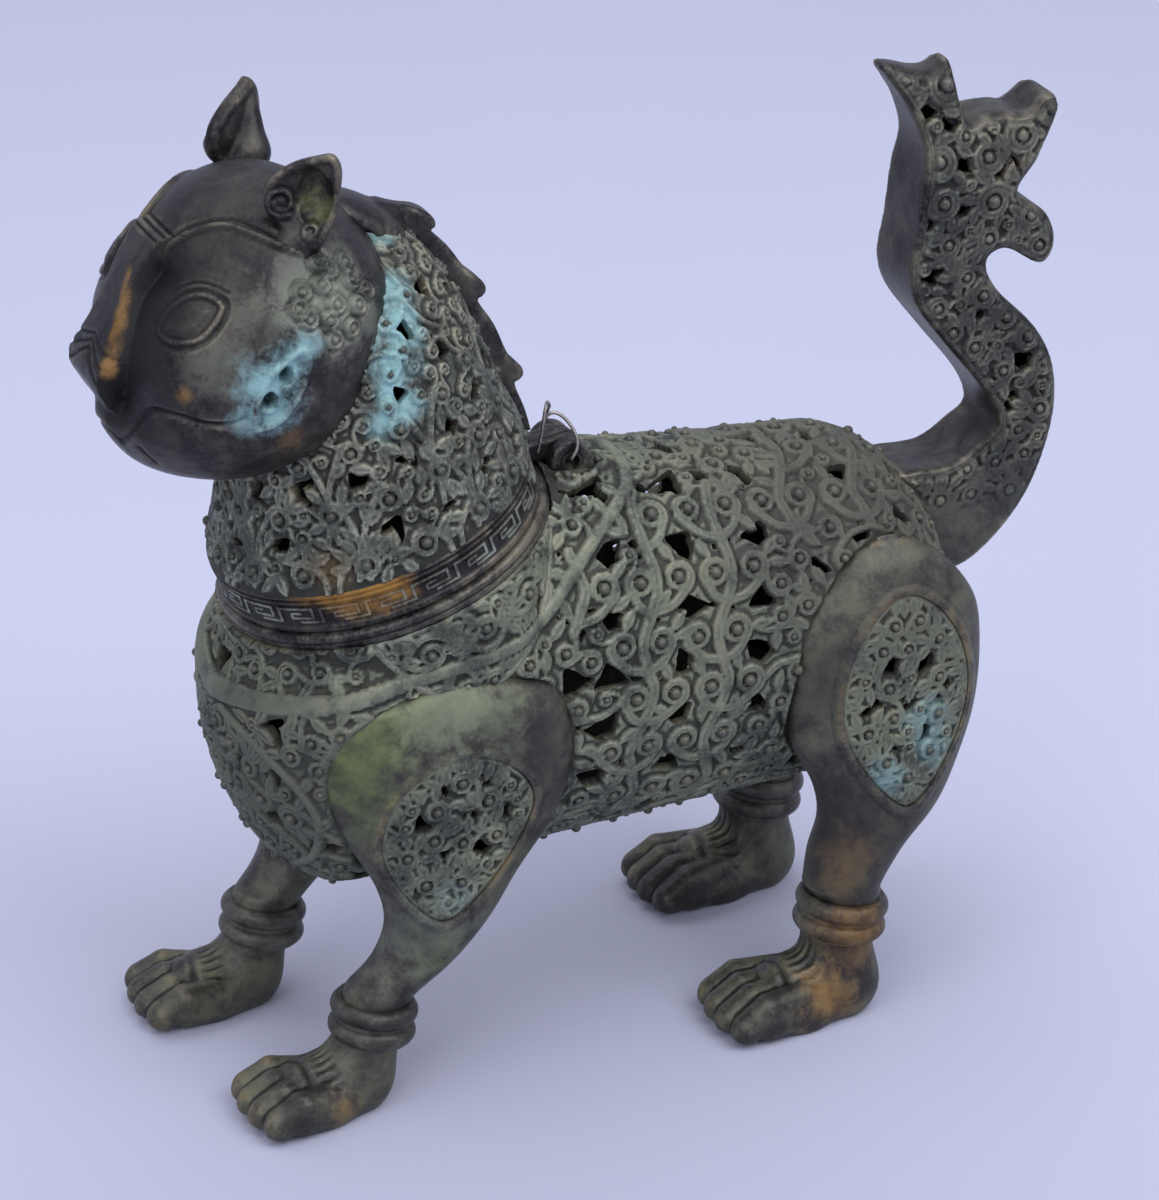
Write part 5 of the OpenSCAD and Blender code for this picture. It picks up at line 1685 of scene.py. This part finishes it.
def face_radius(d):
    """Radius of the carved head in given directions: nose, brows, eyes, mouth and rosettes."""
    r0 = head_radius(d)
    p = d * r0[:, None]
    y = np.abs(p[:, 1])
    ahead = d[:, 0] > .2
    rise = np.arctan2(d[:, 2], np.maximum(d[:, 0], 1e-3))
    profile = run(NOSE_PROFILE, 8)
    angle = np.arctan2(profile[:, 1], profile[:, 0])
    ridge = np.interp(rise, angle, np.hypot(profile[:, 0], profile[:, 1]))
    flat = ridge / np.maximum(np.hypot(d[:, 0], d[:, 2]), .2)
    edge = np.interp(p[:, 2], NOSE_EDGE[:, 0], NOSE_EDGE[:, 1])
    foot = np.interp(p[:, 2], NOSE_FOOT[:, 0], NOSE_FOOT[:, 1])
    window = ease((p[:, 2] + 25) / 9) * ease((31 - p[:, 2]) / 6)
    socket = r0 - 5.0 * window * (1 - ease((y - foot) / 20))
    share = np.clip((y - edge) / (foot - edge), 0, 1)
    nose = mix(flat, socket, share)
    on_nose = ahead & (rise > angle[0] - NOSE_FADE) & (rise < angle[-1] + NOSE_FADE)
    fade = (ease((rise - angle[0] + NOSE_FADE) / NOSE_FADE)
            * ease((angle[-1] + NOSE_FADE - rise) / NOSE_FADE))
    r = np.where(on_nose & (y < foot), mix(socket, np.maximum(nose, socket), fade), socket)
    r = np.where(ahead, r, r0)
    r = r - 1.1 * ease((y - 3) / 8) * (1 - ease((y - 12) / 8)) * ahead * bump((p[:, 2] + 22) / 5)
    q = np.stack([p[:, 0], y, p[:, 2]], -1)

    def ridge_on(name, tall, wide):
        return tall * np.exp(-(line_gap(q, FACE[name]) / wide) ** 2)

    r = r + ridge_on("brow", 1.4, 1.0) - ridge_on("brow_top", 1.0, .8)
    r = r - ridge_on("lid", .5, .7) - ridge_on("mouth", 1.3, .9) - ridge_on("chin", 1.0, .8)
    for name in ("bridge_1", "bridge_2", "bridge_3", "tip_1", "tip_2", "tip_3"):
        r = r - ridge_on(name, .9, .55)

    def ring_gap(line):
        """Distance to a closed line on the face, negative inside."""
        mid = line.mean(0)
        out = unit(mid)
        across = unit(np.cross([0, 0, 1], out))
        up = np.cross(out, across)
        flat_line = np.stack([(line - mid) @ across, (line - mid) @ up], -1)
        near = np.linalg.norm(q - mid, axis=1) < 20
        gap = np.full(len(q), 99.0)
        v = q[near] - mid
        gap[near] = outline_gap(v @ across, v @ up, run(flat_line, 5, closed=True))
        return gap

    gap = ring_gap(POCKET)
    r = r + .8 * np.exp(-(gap / .9) ** 2) - .9 * ease((-gap - .8) / 2)
    gap = ring_gap(EYE)
    r = r + .8 * np.exp(-((gap + .2) / .7) ** 2) - .6 * np.exp(-((gap - 1.5) / .8) ** 2)
    r = r + np.where(gap < -1.0, .8 * ease((-gap - 1.0) / 4), 0)
    for c in ROSETTES:
        w = unit(np.array(c))
        t = np.linalg.norm(q - w * head_radius(w), axis=1)
        r = r + 1.1 * np.exp(-((t - 2.3) / .6) ** 2) + 1.1 * np.sqrt(bump(t / 1.2))
        r = r - .6 * np.exp(-((t - 3.6) / .6) ** 2)
    for c in CHEEK_HOLES:
        w = unit(np.array(c))
        v = q - w * head_radius(w)
        t = np.sqrt(((v * [1.1, 1, .75]) ** 2).sum(1))
        r = r - 6 * ease((2.6 - t) / .9) + .4 * np.exp(-((t - 3.0) / .6) ** 2)
    return r


HEAD_WALL = 8


def make_head():
    """The head as two bowls, the inner one with a fifth of the rows and a third of the columns."""
    axis = unit(np.array([-.5, 0, -.86]))
    e1 = unit(np.cross([0, 1, 0], axis))
    e2 = np.cross(axis, e1)
    cols, rows = 480, 186
    polar = np.linspace(.006, math.radians(132), rows)
    turn = np.linspace(0, 2 * math.pi, cols, endpoint=False)
    d = (-np.cos(polar)[:, None, None] * axis + np.sin(polar)[:, None, None]
         * (np.cos(turn)[None, :, None] * e1 + np.sin(turn)[None, :, None] * e2))
    outer = HEAD + d * face_radius(d.reshape(-1, 3)).reshape(rows, cols)[..., None]
    coarse = d[::5, ::3]
    inner = HEAD + coarse * (head_radius(coarse) - HEAD_WALL)[..., None]
    n, (in_rows, m) = rows * cols, coarse.shape[:2]
    out_faces = grid_faces(rows, cols)
    in_faces = grid_faces(in_rows, m)[:, ::-1] + n
    k = np.arange(m)
    rim_o, rim_i = (rows - 1) * cols, n + (in_rows - 1) * m
    o = [rim_o + (3 * k + t) % cols for t in range(4)]
    i0, i1 = rim_i + k, rim_i + (k + 1) % m
    rim = np.vstack([np.stack([o[2], o[1], o[0], i0], -1), np.stack([i1, o[3], o[2], i0], -1)])

    def cap(count, start):
        half = np.arange(count // 2 - 1)
        return np.stack([half, half + 1, count - 2 - half, count - 1 - half], -1) + start

    faces = np.vstack([out_faces, in_faces, rim[:, ::-1], cap(cols, 0), cap(m, n)[:, ::-1]])
    points = np.vstack([outer.reshape(-1, 3), inner.reshape(-1, 3)])
    a, b, c = outer[90, 0], outer[91, 0], outer[90, 1]
    flip = np.dot(np.cross(b - a, c - a), a - HEAD) < 0
    make_piece("lion_head", points, faces, finish("head"), "lid", ["head_shell"], "dark_bronze", flip)


def neck_grid(gap):
    """Grid of the neck and the middle of each ring, in the frame of the seam."""
    s = run(NECK, 24)
    steps = np.interp(np.arange(0, 84, gap), np.linspace(0, 84, len(s)), np.arange(len(s)))
    s = read_at(steps, np.arange(len(s)), s)
    lean = np.radians(s[:, 3:4])
    a = np.linspace(0, 2 * math.pi, int(2 * math.pi * 47 / gap), endpoint=False)
    waist = bump((np.abs(np.degrees(a) - 180) - 30) / 60)
    r = s[:, 2:3] * (1 - .05 * waist * ease((s[:, 1:2] - 22) / 16))
    u = r * np.cos(a)
    q = np.stack([s[:, 0:1] + u * np.cos(lean), r * np.sin(a), s[:, 1:2] - u * np.sin(lean)], -1)
    middle = np.stack([s[:, 0:1] + 0 * u, 0 * u, s[:, 1:2] + 0 * u], -1)
    return q, middle


def make_neck():
    s = sizes()
    q, middle = neck_grid(s["grid"] * .95)
    p = from_mouth(q)
    sheet = Sheet(p, True)
    flip = sheet.face_outwards(p - from_mouth(middle))
    cut = head_gap(p) + 1.5
    carve = Carving(p, sheet.normals, SEEDS["neck"])
    level = q[..., 2]
    carve.cover(2.2 - np.abs(level - 13))
    ring = run(NECK, 4)

    def neck_spot(at, turn):
        x, z, r, lean = read_at(at, np.arange(len(ring)), ring)
        v, lean = math.radians(22.5 * turn), math.radians(lean)
        u = r * math.cos(v)
        place = np.array([x + u * math.cos(lean), r * math.sin(v), z - u * math.sin(lean)])
        return carve.spot(from_mouth(place))

    nape = (np.abs(p[..., 1]) < 5.5) & (p[..., 0] < 64)
    carve.cover(np.where(nape, carve.PLAIN, carve.NO_METAL))
    for row, (at, start, r) in enumerate(((2, 0, 5.6), (6, 1, 5.3), (10, 4, 4.6))):
        shift = .5 * (row == 1)
        for k in range(16):
            spin = -1 if k % 2 else 1
            source = neck_spot(start, k + shift + .42 * spin)[0]
            carve.vine(source, *neck_spot(at, k + shift), r, spin, 1.2, s["relief"], 1.25)
    low, free = level < 50, cut > -2
    for row, k in itertools.product((0, 1), range(16)):
        carve.pierce(neck_spot((3.8, 8)[row], k + .5 + row / 2)[0], carve.rng.uniform(4.4, 6.0), 1.05 * k)
    carve.scatter(free & ~low & (level < 90), 16, 4.2, 12)
    carve.fill(free & ~low, 2.6, 3.8, 1.2, s["relief"] * .9)
    carve.fill(free & low, 2.8, 4.0, 1.2, s["relief"])
    carve.leaves(free & low, 200, 6.4, s["relief"])
    keep = np.minimum(carve.kept(s["ground"]), cut)
    high, pit = carve.relief(nape)
    for points, faces, shade in sheet.solid(high, keep, s["wall"], pit=pit):
        make_piece("neck_openwork", points, faces, finish("neck"), "lid", ["neck_shell"], "green_openwork",
                   flip, pit=shade)
    make_bosses("neck_bosses", shown_bosses(carve, keep, .9), "lid")


# The fret lines' value gives them full rubbed wear and painted highlight.
FRET_WEAR_AND_HIGHLIGHT = .7


def make_collar():
    r, low, top = COLLAR_R, .15, 13.15
    profile = [(r - 6, low), (r - 1.2, low), (r - .3, low + .35), (r, low + 1.1), (r, low + 2.2),
               (r - .5, low + 2.6), (r - .7, low + 3.0), (r - .7, top - 3.4), (r - .45, top - 3.0),
               (r + .1, top - 2.5), (r + .1, top - 1.9), (r - .5, top - 1.6), (r - .5, top - 1.2),
               (r, top - .9), (r, top - .4), (r - .5, top), (r - 6, top)]
    points, faces = lathe(profile, 192)
    make_piece("collar_band", from_mouth(points), faces, finish("collar"), "lid", ["neck_collar"],
               "banded_bronze", angle=40)
    fret = fret_band(r - .7, low + 3.1, top - 3.5)
    add_piece("collar_key_fret", fret, "lid")


def fret_tree():
    """Geometry Nodes: units set in a row along X and bent round the Z axis."""
    tree = node_tree("Key fret", ("Count", "Int"), ("Unit", "Float"), ("Radius", "Float"))
    new = tree.nodes.new
    start, end = new("NodeGroupInput"), new("NodeGroupOutput")
    row, step = new("GeometryNodeMeshLine"), new("ShaderNodeCombineXYZ")
    put, real = new("GeometryNodeInstanceOnPoints"), new("GeometryNodeRealizeInstances")
    where, split = new("GeometryNodeInputPosition"), new("ShaderNodeSeparateXYZ")
    bent, move = new("ShaderNodeCombineXYZ"), new("GeometryNodeSetPosition")
    turn, sine, cosine, out, px, py = (new("ShaderNodeMath") for _ in range(6))
    turn.operation, sine.operation, cosine.operation = "DIVIDE", "SINE", "COSINE"
    out.operation, px.operation, py.operation = "ADD", "MULTIPLY", "MULTIPLY"
    tie(tree, (start, "Count", row, "Count"), (start, "Unit", step, "X"), (step, "Vector", row, "Offset"),
        (row, "Mesh", put, "Points"), (start, "Geometry", put, "Instance"),
        (put, "Instances", real, "Geometry"), (real, "Geometry", move, "Geometry"),
        (where, "Position", split, "Vector"), (split, "X", turn, 0), (start, "Radius", turn, 1),
        (turn, "Value", sine, 0), (turn, "Value", cosine, 0), (split, "Y", out, 0), (start, "Radius", out, 1),
        (out, "Value", px, 0), (cosine, "Value", px, 1), (out, "Value", py, 0), (sine, "Value", py, 1),
        (px, "Value", bent, "X"), (py, "Value", bent, "Y"), (split, "Z", bent, "Z"),
        (bent, "Vector", move, "Position"), (move, "Geometry", end, "Geometry"))
    return tree


def fret_band(radius, low, top):
    """Key-fret units of bars, set round the collar."""
    count = bpy.context.scene.burner_sizes.fret_count
    unit_w = 2 * math.pi * radius / count
    tall = top - low
    turns = [(0, 0), (0, 1), (.8, 1), (.8, .3), (.3, .3), (.3, .65), (.5, .65)], [(.5, 0), (1, 0)]
    points, faces = [], []
    half, sink, proud, slope = .42, .4, .45, .12

    def bar(a, b):
        (x0, z0), (x1, z1) = a, b
        lo, hi = np.minimum((x0, z0), (x1, z1)) - half, np.maximum((x0, z0), (x1, z1)) + half
        n = 5 if hi[0] - lo[0] > 2 else 2
        xs = np.linspace(lo[0], hi[0], n)
        start = len(points)
        for x in xs:
            points.extend([(x, -sink, lo[1]), (x, proud, lo[1] + slope), (x, proud, hi[1] - slope),
                           (x, -sink, hi[1])])
        for k in range(n - 1):
            o = start + 4 * k
            for t in range(4):
                u = (t + 1) % 4
                faces.append((o + t, o + u, o + 4 + u, o + 4 + t))
        faces.append((start, start + 3, start + 2, start + 1))
        e = start + 4 * (n - 1)
        faces.append((e, e + 1, e + 2, e + 3))

    for line in turns:
        line = [(x * unit_w, .9 + z * (tall - 1.8)) for x, z in line]
        for a, b in zip(line, line[1:]):
            bar(a, b)
    mesh = bpy.data.meshes.new("fret_unit")
    mesh.from_pydata((np.array(points) * MM).tolist(), [], faces)
    made = bake_nodes("collar_key_fret", mesh, fret_tree(),
                      {"Count": count, "Unit": unit_w * MM, "Radius": radius * MM})
    flat = np.zeros(len(made.vertices) * 3)
    made.vertices.foreach_get("co", flat)
    p = flat.reshape(-1, 3) / MM
    p[:, 2] += low
    made.vertices.foreach_set("co", (from_mouth(p) * MM).ravel())
    set_wear_highlight_and_shade(made, FRET_WEAR_AND_HIGHLIGHT)
    made.materials.clear()
    made.materials.append(finish("fret"))
    made.flip_normals()
    made.update()
    return made


EAR_AT = np.array([-10.5, 29.5, 45.5])
EAR_OUT = unit(np.array([.5, .82, .06]))
EAR_EDGE = [(11.4, 1.5), (9, 6.6), (3, 11), (-4.5, 13.6), (-9, 14.4), (-11.2, 10.5), (-10.8, 4.5),
            (-9, -4.5), (-5.4, -12), (-2.4, -14), (2.4, -11), (7.5, -7.4), (11, -3.6)]
EAR_SCROLLS = [((6.4, -.6), 4.9), ((-2.2, -8.6), 2.9)]
EAR_TURNS = 1.4


def ear_gap(x, y, z):
    """Distance to the left ear: a dished leaf with a rim and two scrolls, on a root that meets the head."""
    ahead = unit(np.array([.9157, -.4019, 0]) - EAR_OUT * np.dot([.9157, -.4019, 0], EAR_OUT))
    up = np.cross(ahead, EAR_OUT)
    v = np.stack([x, y, z], -1) - EAR_AT
    s, t, w = v @ ahead, v @ up, v @ EAR_OUT
    edge = outline_gap(s, t, run(EAR_EDGE, 5, closed=True))
    skin = w + 2 - .013 * (s * s + t * t)
    half = 1.6 + .7 * np.exp(-(edge + 1.4) ** 2)
    d = plate(edge, np.abs(skin) - half, 1.0)
    root = EAR_AT - EAR_OUT * 5.5 - up * 5 - ahead * 1.5
    d = join(d, round_cone(x, y, z, root, EAR_AT * .84 - up * 8, 6.0, 8.0), 2.5)
    d = join(d, round_cone(x, y, z, root, EAR_AT - EAR_OUT * .5 + up * 11 - ahead * 7.5, 6.0, 1.8), 2)
    hollow = np.sqrt(((s + 3) / 5.6) ** 2 + ((t - 1.5) / 8.6) ** 2 + ((w - 1.2) / 4.4) ** 2) - 1
    d = carve_out(d, 4.4 * hollow, .8)
    for (cs, ct), r in EAR_SCROLLS:
        rho = np.hypot(s - cs, t - ct)
        turn = (np.arctan2(t - ct, s - cs) + 2.2) / (2 * math.pi) % 1
        lift = .8 * bump(rho / (.3 * r))
        for lap in (0, 1):
            path = r * (.86 - .46 * (turn + lap) / EAR_TURNS)
            ridge = bump((rho - path) / (.2 * r))
            lift = np.maximum(lift, np.where(turn + lap < EAR_TURNS, ridge, 0))
        d = d + (.4 * (rho < r) - 1.6 * lift) * ease((skin + .4) / .8)
    return d


def make_ears():
    points, faces = nets(ear_gap, (-28, 10, 20), (10, 48, 64), .5, 2)
    for right in (False, True):
        side = "right" if right else "left"
        make_piece("ear_" + side, points * [1, -1 if right else 1, 1] + HEAD, faces, finish("ear"), "lid",
                   [side + "_ear"], "dark_bronze", right)


def crest_line():
    """The back edge of the neck in the middle plane, forward and up."""
    s = run(NECK, 20)
    lean = np.radians(s[:, 3])
    q = np.stack([s[:, 0] - s[:, 2] * np.cos(lean), 0 * lean, s[:, 1] + s[:, 2] * np.sin(lean)], -1)
    return from_mouth(q)[:, [0, 2]]


CREST = [(62, 277.8), (57.6, 276.4), (51.3, 274.6), (46.8, 271.8), (45.1, 268.9), (45.6, 267.4),
         (46.6, 266.6), (41, 260.6), (36, 253.4), (32.6, 250.2), (30, 247.4), (29.2, 244.8), (31, 242.8),
         (32, 242), (26.4, 233.2), (22.4, 223.4), (20, 220.6), (17.9, 218.1), (17.4, 215.7), (19.4, 214),
         (20.4, 213.4), (16.8, 204.6), (14.6, 196.4)]
LOCKS = [(48.5, 269.5), (34.3, 245.8), (22.4, 217)]


def make_crest():
    line = crest_line()
    line = line[(line[:, 1] > 194) & (line[:, 0] < 64)]
    shape = np.vstack([run(CREST, 3), line + [3.5, -1.2]])

    def gap(x, y, z):
        edge = outline_gap(x[:, 0], z[:, 0], shape)[:, None]
        swell = np.max([bump(np.hypot(x - u, z - v) / 8) for u, v in LOCKS], axis=0)
        fin = plate(edge, np.abs(y) - 3 - 1.5 * swell, 1.5)
        u, v = (x - 68) * .87 + (z - 274) * .49, (z - 274) * .87 - (x - 68) * .49
        return join(fin, ball_gap(u, y, v, (0, 0, 0), (17, 13, 5.6)), 3)

    points, faces = nets(gap, (9, -15, 188), (84, 15, 288), .75)
    make_piece("nape_locks", points, faces, finish("smooth"), "lid", ["nape_crest"], "dark_bronze", angle=60)


HINGE_SOFT, PIN_ROOM = .9, 3.5


def hinge_lug_gap(x, y, z):
    """Distance to a lug, in the frame of the hinge."""
    side = np.abs(y - (LUG_IN + LUG_OUT) / 2) - (LUG_OUT - LUG_IN) / 2
    flat = join(np.hypot(x, z) - LUG_R, np.maximum(np.abs(x) - LUG_R, np.maximum(z, -z - 10.5)), 1.2)
    return np.maximum(plate(flat, side, HINGE_SOFT), PIN_ROOM - np.hypot(x, z))


def tongue_gap(x, y, z):
    """Distance to the lid's tongue, in the frame of the hinge."""
    flat = join(np.hypot(x, z) - LUG_R, round_cone(x, 0, z, (0, 0, .5), (11, 0, 4.6), 6.1, 4.6), 1)
    flat = np.maximum(flat, np.where(x > 6.2, 2.5 - z, -9))
    d = plate(flat, np.abs(y) - 4.8, HINGE_SOFT)
    d = d + .5 * np.exp(-((np.abs(y) - 2) / .5) ** 2) - .4 * bump(y / 1.6)
    return np.maximum.reduce([d, PIN_ROOM - np.hypot(x, z), x - 12])


def make_hinge():
    points, faces = nets(hinge_lug_gap, (-8, 4, -12), (8, 11, 8), .45)
    for right in (False, True):
        side, out = ("right", -1) if right else ("left", 1)
        make_piece("lug_" + side, from_hinge(points * [1, out, 1]), faces, finish("lug"), "body",
                   ["hinge_lug_" + side], "banded_bronze", right)
    points, faces = nets(tongue_gap, (-9, -6, -8), (13, 6, 12), .45)
    make_piece("lid_tongue", from_hinge(points), faces, finish("smooth"), "lid", ["hinge_knuckle"],
               "dark_bronze")


def make_wire():
    y, rest = LUG_OUT + 1.4, 2.5 - .55 - .3
    path = [(8.2, 6.6, 6.6), (5.4, 6.6, 11.4), (2.2, 6.2, 17.2), (.6, 5, 18.8), (-.8, 2.4, 18.2),
            (-2.2, -2, 14.4), (-2.8, -7.6, 10), (-1.8, -y, 5.4), (0, -y, rest + .4), (0, -y + 1.2, rest),
            (0, 0, rest), (0, y - 1.2, rest), (0, y, rest + .4), (-2.6, y, 4.6), (-3.8, 10.2, 8.2),
            (-3.2, 8, 12.8), (-1.4, 6.6, 15.8), (.8, 5.7, 16.2), (2.4, 5, 14.6), (3.2, 4.4, 12.6)]
    points, faces = tube(resample(run(path, 12), .5), sizes()["wire"] / 2)
    make_piece("wire_loop", from_hinge(points), faces, finish("wire"), "lid", ["tie_wire"], "wire")


# Fittings kept from the frame

KEPT = {"ember_pan": "soot", "pan_rivet": "rubbed", "hinge_pin": "rubbed",
        **{name + "_anklet": "rubbed" for _, _, name in SIDES}}


def dress_fittings():
    for name, kind in KEPT.items():
        slots = frame["nodes"][name].data.materials
        slots.clear()
        slots.append(finish(kind))


def clear_scene():
    """Takes away what a new Blender file holds besides the frame."""
    for obj in list(bpy.context.scene.objects):
        if obj.type in {"CAMERA", "LIGHT"} or obj.name == "Cube":
            bpy.data.objects.remove(obj)


FLOOR_HALF, FLOOR_DROP = 8, .0004
SKY_LIGHT, BACKDROP = ((.92, .94, 1), .62), ((.56, .575, .76), 1)
# Lamps: name, place, size and power, all turned to one place of the burner.
LAMPS = (("key", (-.5, 1.0, 1.5), 1.3, 17), ("front", (1.2, .9, 1.1), 1.2, 9),
         ("top", (.1, -.3, 1.8), 1.6, 12))
LIT_PLACE = (0, 0, .13)


def make_stage():
    """The floor, the light of the room and three lamps."""
    colour = tuple(bpy.context.scene.burner_colours.floor)
    mesh = bpy.data.meshes.new("floor")
    corners = [(x * FLOOR_HALF, y * FLOOR_HALF, -FLOOR_DROP) for x, y in ((-1, -1), (1, -1), (1, 1), (-1, 1))]
    mesh.from_pydata(corners, [], [(0, 1, 2, 3)])
    f = Finish("lilac_ground")
    paint = f.blend(tuple(v * .97 for v in colour), colour, f.noise(6, 3))
    # Painted shade: the floor darkened round a place in front of the burner, fading out by about 620 mm.
    paint = f.blend(paint, tuple(v * .74 for v in colour), f.nearness((120, 300, 0), 620, .5))
    f.end(paint, .9, 0.0, f.noise(400, 2), .00005)
    mesh.materials.append(f.material)
    floor = bpy.data.objects.new("floor", mesh)
    bpy.context.scene.collection.objects.link(floor)
    world = bpy.data.worlds.new("studio")
    bpy.context.scene.world = world
    world.use_nodes = True
    tree = world.node_tree
    tree.nodes.clear()
    new = tree.nodes.new
    path, seen, both = new("ShaderNodeLightPath"), new("ShaderNodeMath"), new("ShaderNodeMath")
    seen.operation = both.operation = "MAXIMUM"
    light, back = new("ShaderNodeBackground"), new("ShaderNodeBackground")
    for node, (colour, strength) in ((light, SKY_LIGHT), (back, BACKDROP)):
        node.inputs["Color"].default_value = (*colour, 1)
        node.inputs["Strength"].default_value = strength
    pick, end = new("ShaderNodeMixShader"), new("ShaderNodeOutputWorld")
    tie(tree, (path, "Is Camera Ray", seen, 0), (path, "Is Glossy Ray", seen, 1), (seen, 0, both, 0),
        (path, "Is Transmission Ray", both, 1), (both, 0, pick, 0), (light, 0, pick, 1), (back, 0, pick, 2),
        (pick, 0, end, "Surface"))
    for name, place, size, power in LAMPS:
        lamp = bpy.data.lights.new(name, "AREA")
        lamp.size, lamp.energy = size, power
        obj = bpy.data.objects.new(name, lamp)
        obj.location = place
        obj.rotation_euler = (Vector(LIT_PLACE) - Vector(place)).to_track_quat("-Z", "Y").to_euler()
        bpy.context.scene.collection.objects.link(obj)
    bpy.context.scene.view_settings.view_transform = "Standard"


def make_camera():
    """The camera of the photograph, its axes as seen from the burner."""
    data = bpy.data.cameras.new("photograph")
    data.lens, data.sensor_width = 160, 36
    data.shift_x, data.shift_y = -.00875, .00833
    data.clip_end = 100
    camera = bpy.data.objects.new("photograph", data)
    right, up, back = (-.9157, .4019, 0), (-.1755, -.3999, .8996), (.3616, .8238, .4367)
    turn = Matrix((right, up, back)).transposed().to_4x4()
    camera.matrix_world = Matrix.Translation(Vector((.5882, 1.3526, .8487))) @ turn
    bpy.context.scene.collection.objects.link(camera)
    bpy.context.scene.camera = camera


# Operators

class BURNER_OT_stage(bpy.types.Operator):
    """Floor, light and the camera of the photograph"""

    bl_idname = "burner.stage"
    bl_label = "Stage"

    def execute(self, context):
        clear_scene()
        make_camera()
        make_stage()
        return {"FINISHED"}


class BURNER_OT_torso(bpy.types.Operator):
    """The pierced body with its scrolls and bosses"""

    bl_idname = "burner.torso"
    bl_label = "Body openwork"

    def execute(self, context):
        make_torso()
        return {"FINISHED"}


class BURNER_OT_frieze(bpy.types.Operator):
    """The pierced base of the neck and the seat ring"""

    bl_idname = "burner.frieze"
    bl_label = "Neck frieze"

    def execute(self, context):
        make_frieze()
        make_fillet()
        make_seat_ring()
        return {"FINISHED"}


class BURNER_OT_legs(bpy.types.Operator):
    """Four hollow legs with a smooth arch over each panel"""

    bl_idname = "burner.legs"
    bl_label = "Legs"

    def execute(self, context):
        make_legs()
        return {"FINISHED"}


class BURNER_OT_panels(bpy.types.Operator):
    """Four pierced teardrop panels"""

    bl_idname = "burner.panels"
    bl_label = "Leg panels"

    def execute(self, context):
        make_panels()
        return {"FINISHED"}


class BURNER_OT_paws(bpy.types.Operator):
    """Four paws with toes and nails"""

    bl_idname = "burner.paws"
    bl_label = "Paws"

    def execute(self, context):
        make_paws()
        return {"FINISHED"}


class BURNER_OT_tail(bpy.types.Operator):
    """The tail's smooth strip and its two pierced sides"""

    bl_idname = "burner.tail"
    bl_label = "Tail"

    def execute(self, context):
        make_tail()
        return {"FINISHED"}


class BURNER_OT_head(bpy.types.Operator):
    """The lion's head with its carved face"""

    bl_idname = "burner.head"
    bl_label = "Head"

    def execute(self, context):
        make_head()
        return {"FINISHED"}


class BURNER_OT_ears(bpy.types.Operator):
    """Two pointed ears with volutes"""

    bl_idname = "burner.ears"
    bl_label = "Ears"

    def execute(self, context):
        make_ears()
        return {"FINISHED"}


class BURNER_OT_neck(bpy.types.Operator):
    """The pierced neck of the lid"""

    bl_idname = "burner.neck"
    bl_label = "Neck openwork"

    def execute(self, context):
        make_neck()
        return {"FINISHED"}


class BURNER_OT_crest(bpy.types.Operator):
    """The ridge and hooked locks down the nape"""

    bl_idname = "burner.crest"
    bl_label = "Nape crest"

    def execute(self, context):
        make_crest()
        return {"FINISHED"}


class BURNER_OT_collar(bpy.types.Operator):
    """The collar of the lid and its key fret"""

    bl_idname = "burner.collar"
    bl_label = "Collar"

    def execute(self, context):
        make_collar()
        return {"FINISHED"}


class BURNER_OT_hinge(bpy.types.Operator):
    """Two lugs on the spine and the tongue of the lid"""

    bl_idname = "burner.hinge"
    bl_label = "Hinge"

    def execute(self, context):
        make_hinge()
        return {"FINISHED"}


class BURNER_OT_wire(bpy.types.Operator):
    """The wire tied through the hinge"""

    bl_idname = "burner.wire"
    bl_label = "Tie wire"

    def execute(self, context):
        make_wire()
        return {"FINISHED"}


class BURNER_OT_fittings(bpy.types.Operator):
    """Finishes of the pan, the rivet, the pin and the anklets"""

    bl_idname = "burner.fittings"
    bl_label = "Fittings"

    def execute(self, context):
        dress_fittings()
        return {"FINISHED"}


OPERATORS = (BURNER_OT_stage, BURNER_OT_torso, BURNER_OT_frieze, BURNER_OT_legs, BURNER_OT_panels,
             BURNER_OT_paws, BURNER_OT_tail, BURNER_OT_head, BURNER_OT_ears, BURNER_OT_neck,
             BURNER_OT_crest, BURNER_OT_collar, BURNER_OT_hinge, BURNER_OT_wire, BURNER_OT_fittings)


class BURNER_PT_panel(bpy.types.Panel):
    """The burner's sizes, colours and steps"""

    bl_idname = "BURNER_PT_panel"
    bl_label = "Lion incense burner"
    bl_space_type = "VIEW_3D"
    bl_region_type = "UI"
    bl_category = "Burner"

    def draw(self, context):
        for group in (context.scene.burner_sizes, context.scene.burner_colours):
            box = self.layout.box()
            for key in group.bl_rna.properties.keys():
                if key not in ("rna_type", "name"):
                    box.prop(group, key)
        for kind in OPERATORS:
            self.layout.operator(kind.bl_idname)


CLASSES = (BurnerSizes, BurnerColours, *OPERATORS, BURNER_PT_panel)


def register():
    for kind in CLASSES:
        bpy.utils.register_class(kind)
    bpy.types.Scene.burner_sizes = PointerProperty(type=BurnerSizes)
    bpy.types.Scene.burner_colours = PointerProperty(type=BurnerColours)


def unregister():
    del bpy.types.Scene.burner_colours
    del bpy.types.Scene.burner_sizes
    for kind in reversed(CLASSES):
        bpy.utils.unregister_class(kind)


def main():
    register()
    for kind in OPERATORS:
        family, name = kind.bl_idname.split(".")
        getattr(getattr(bpy.ops, family), name)()


if __name__ == "__main__":
    main()
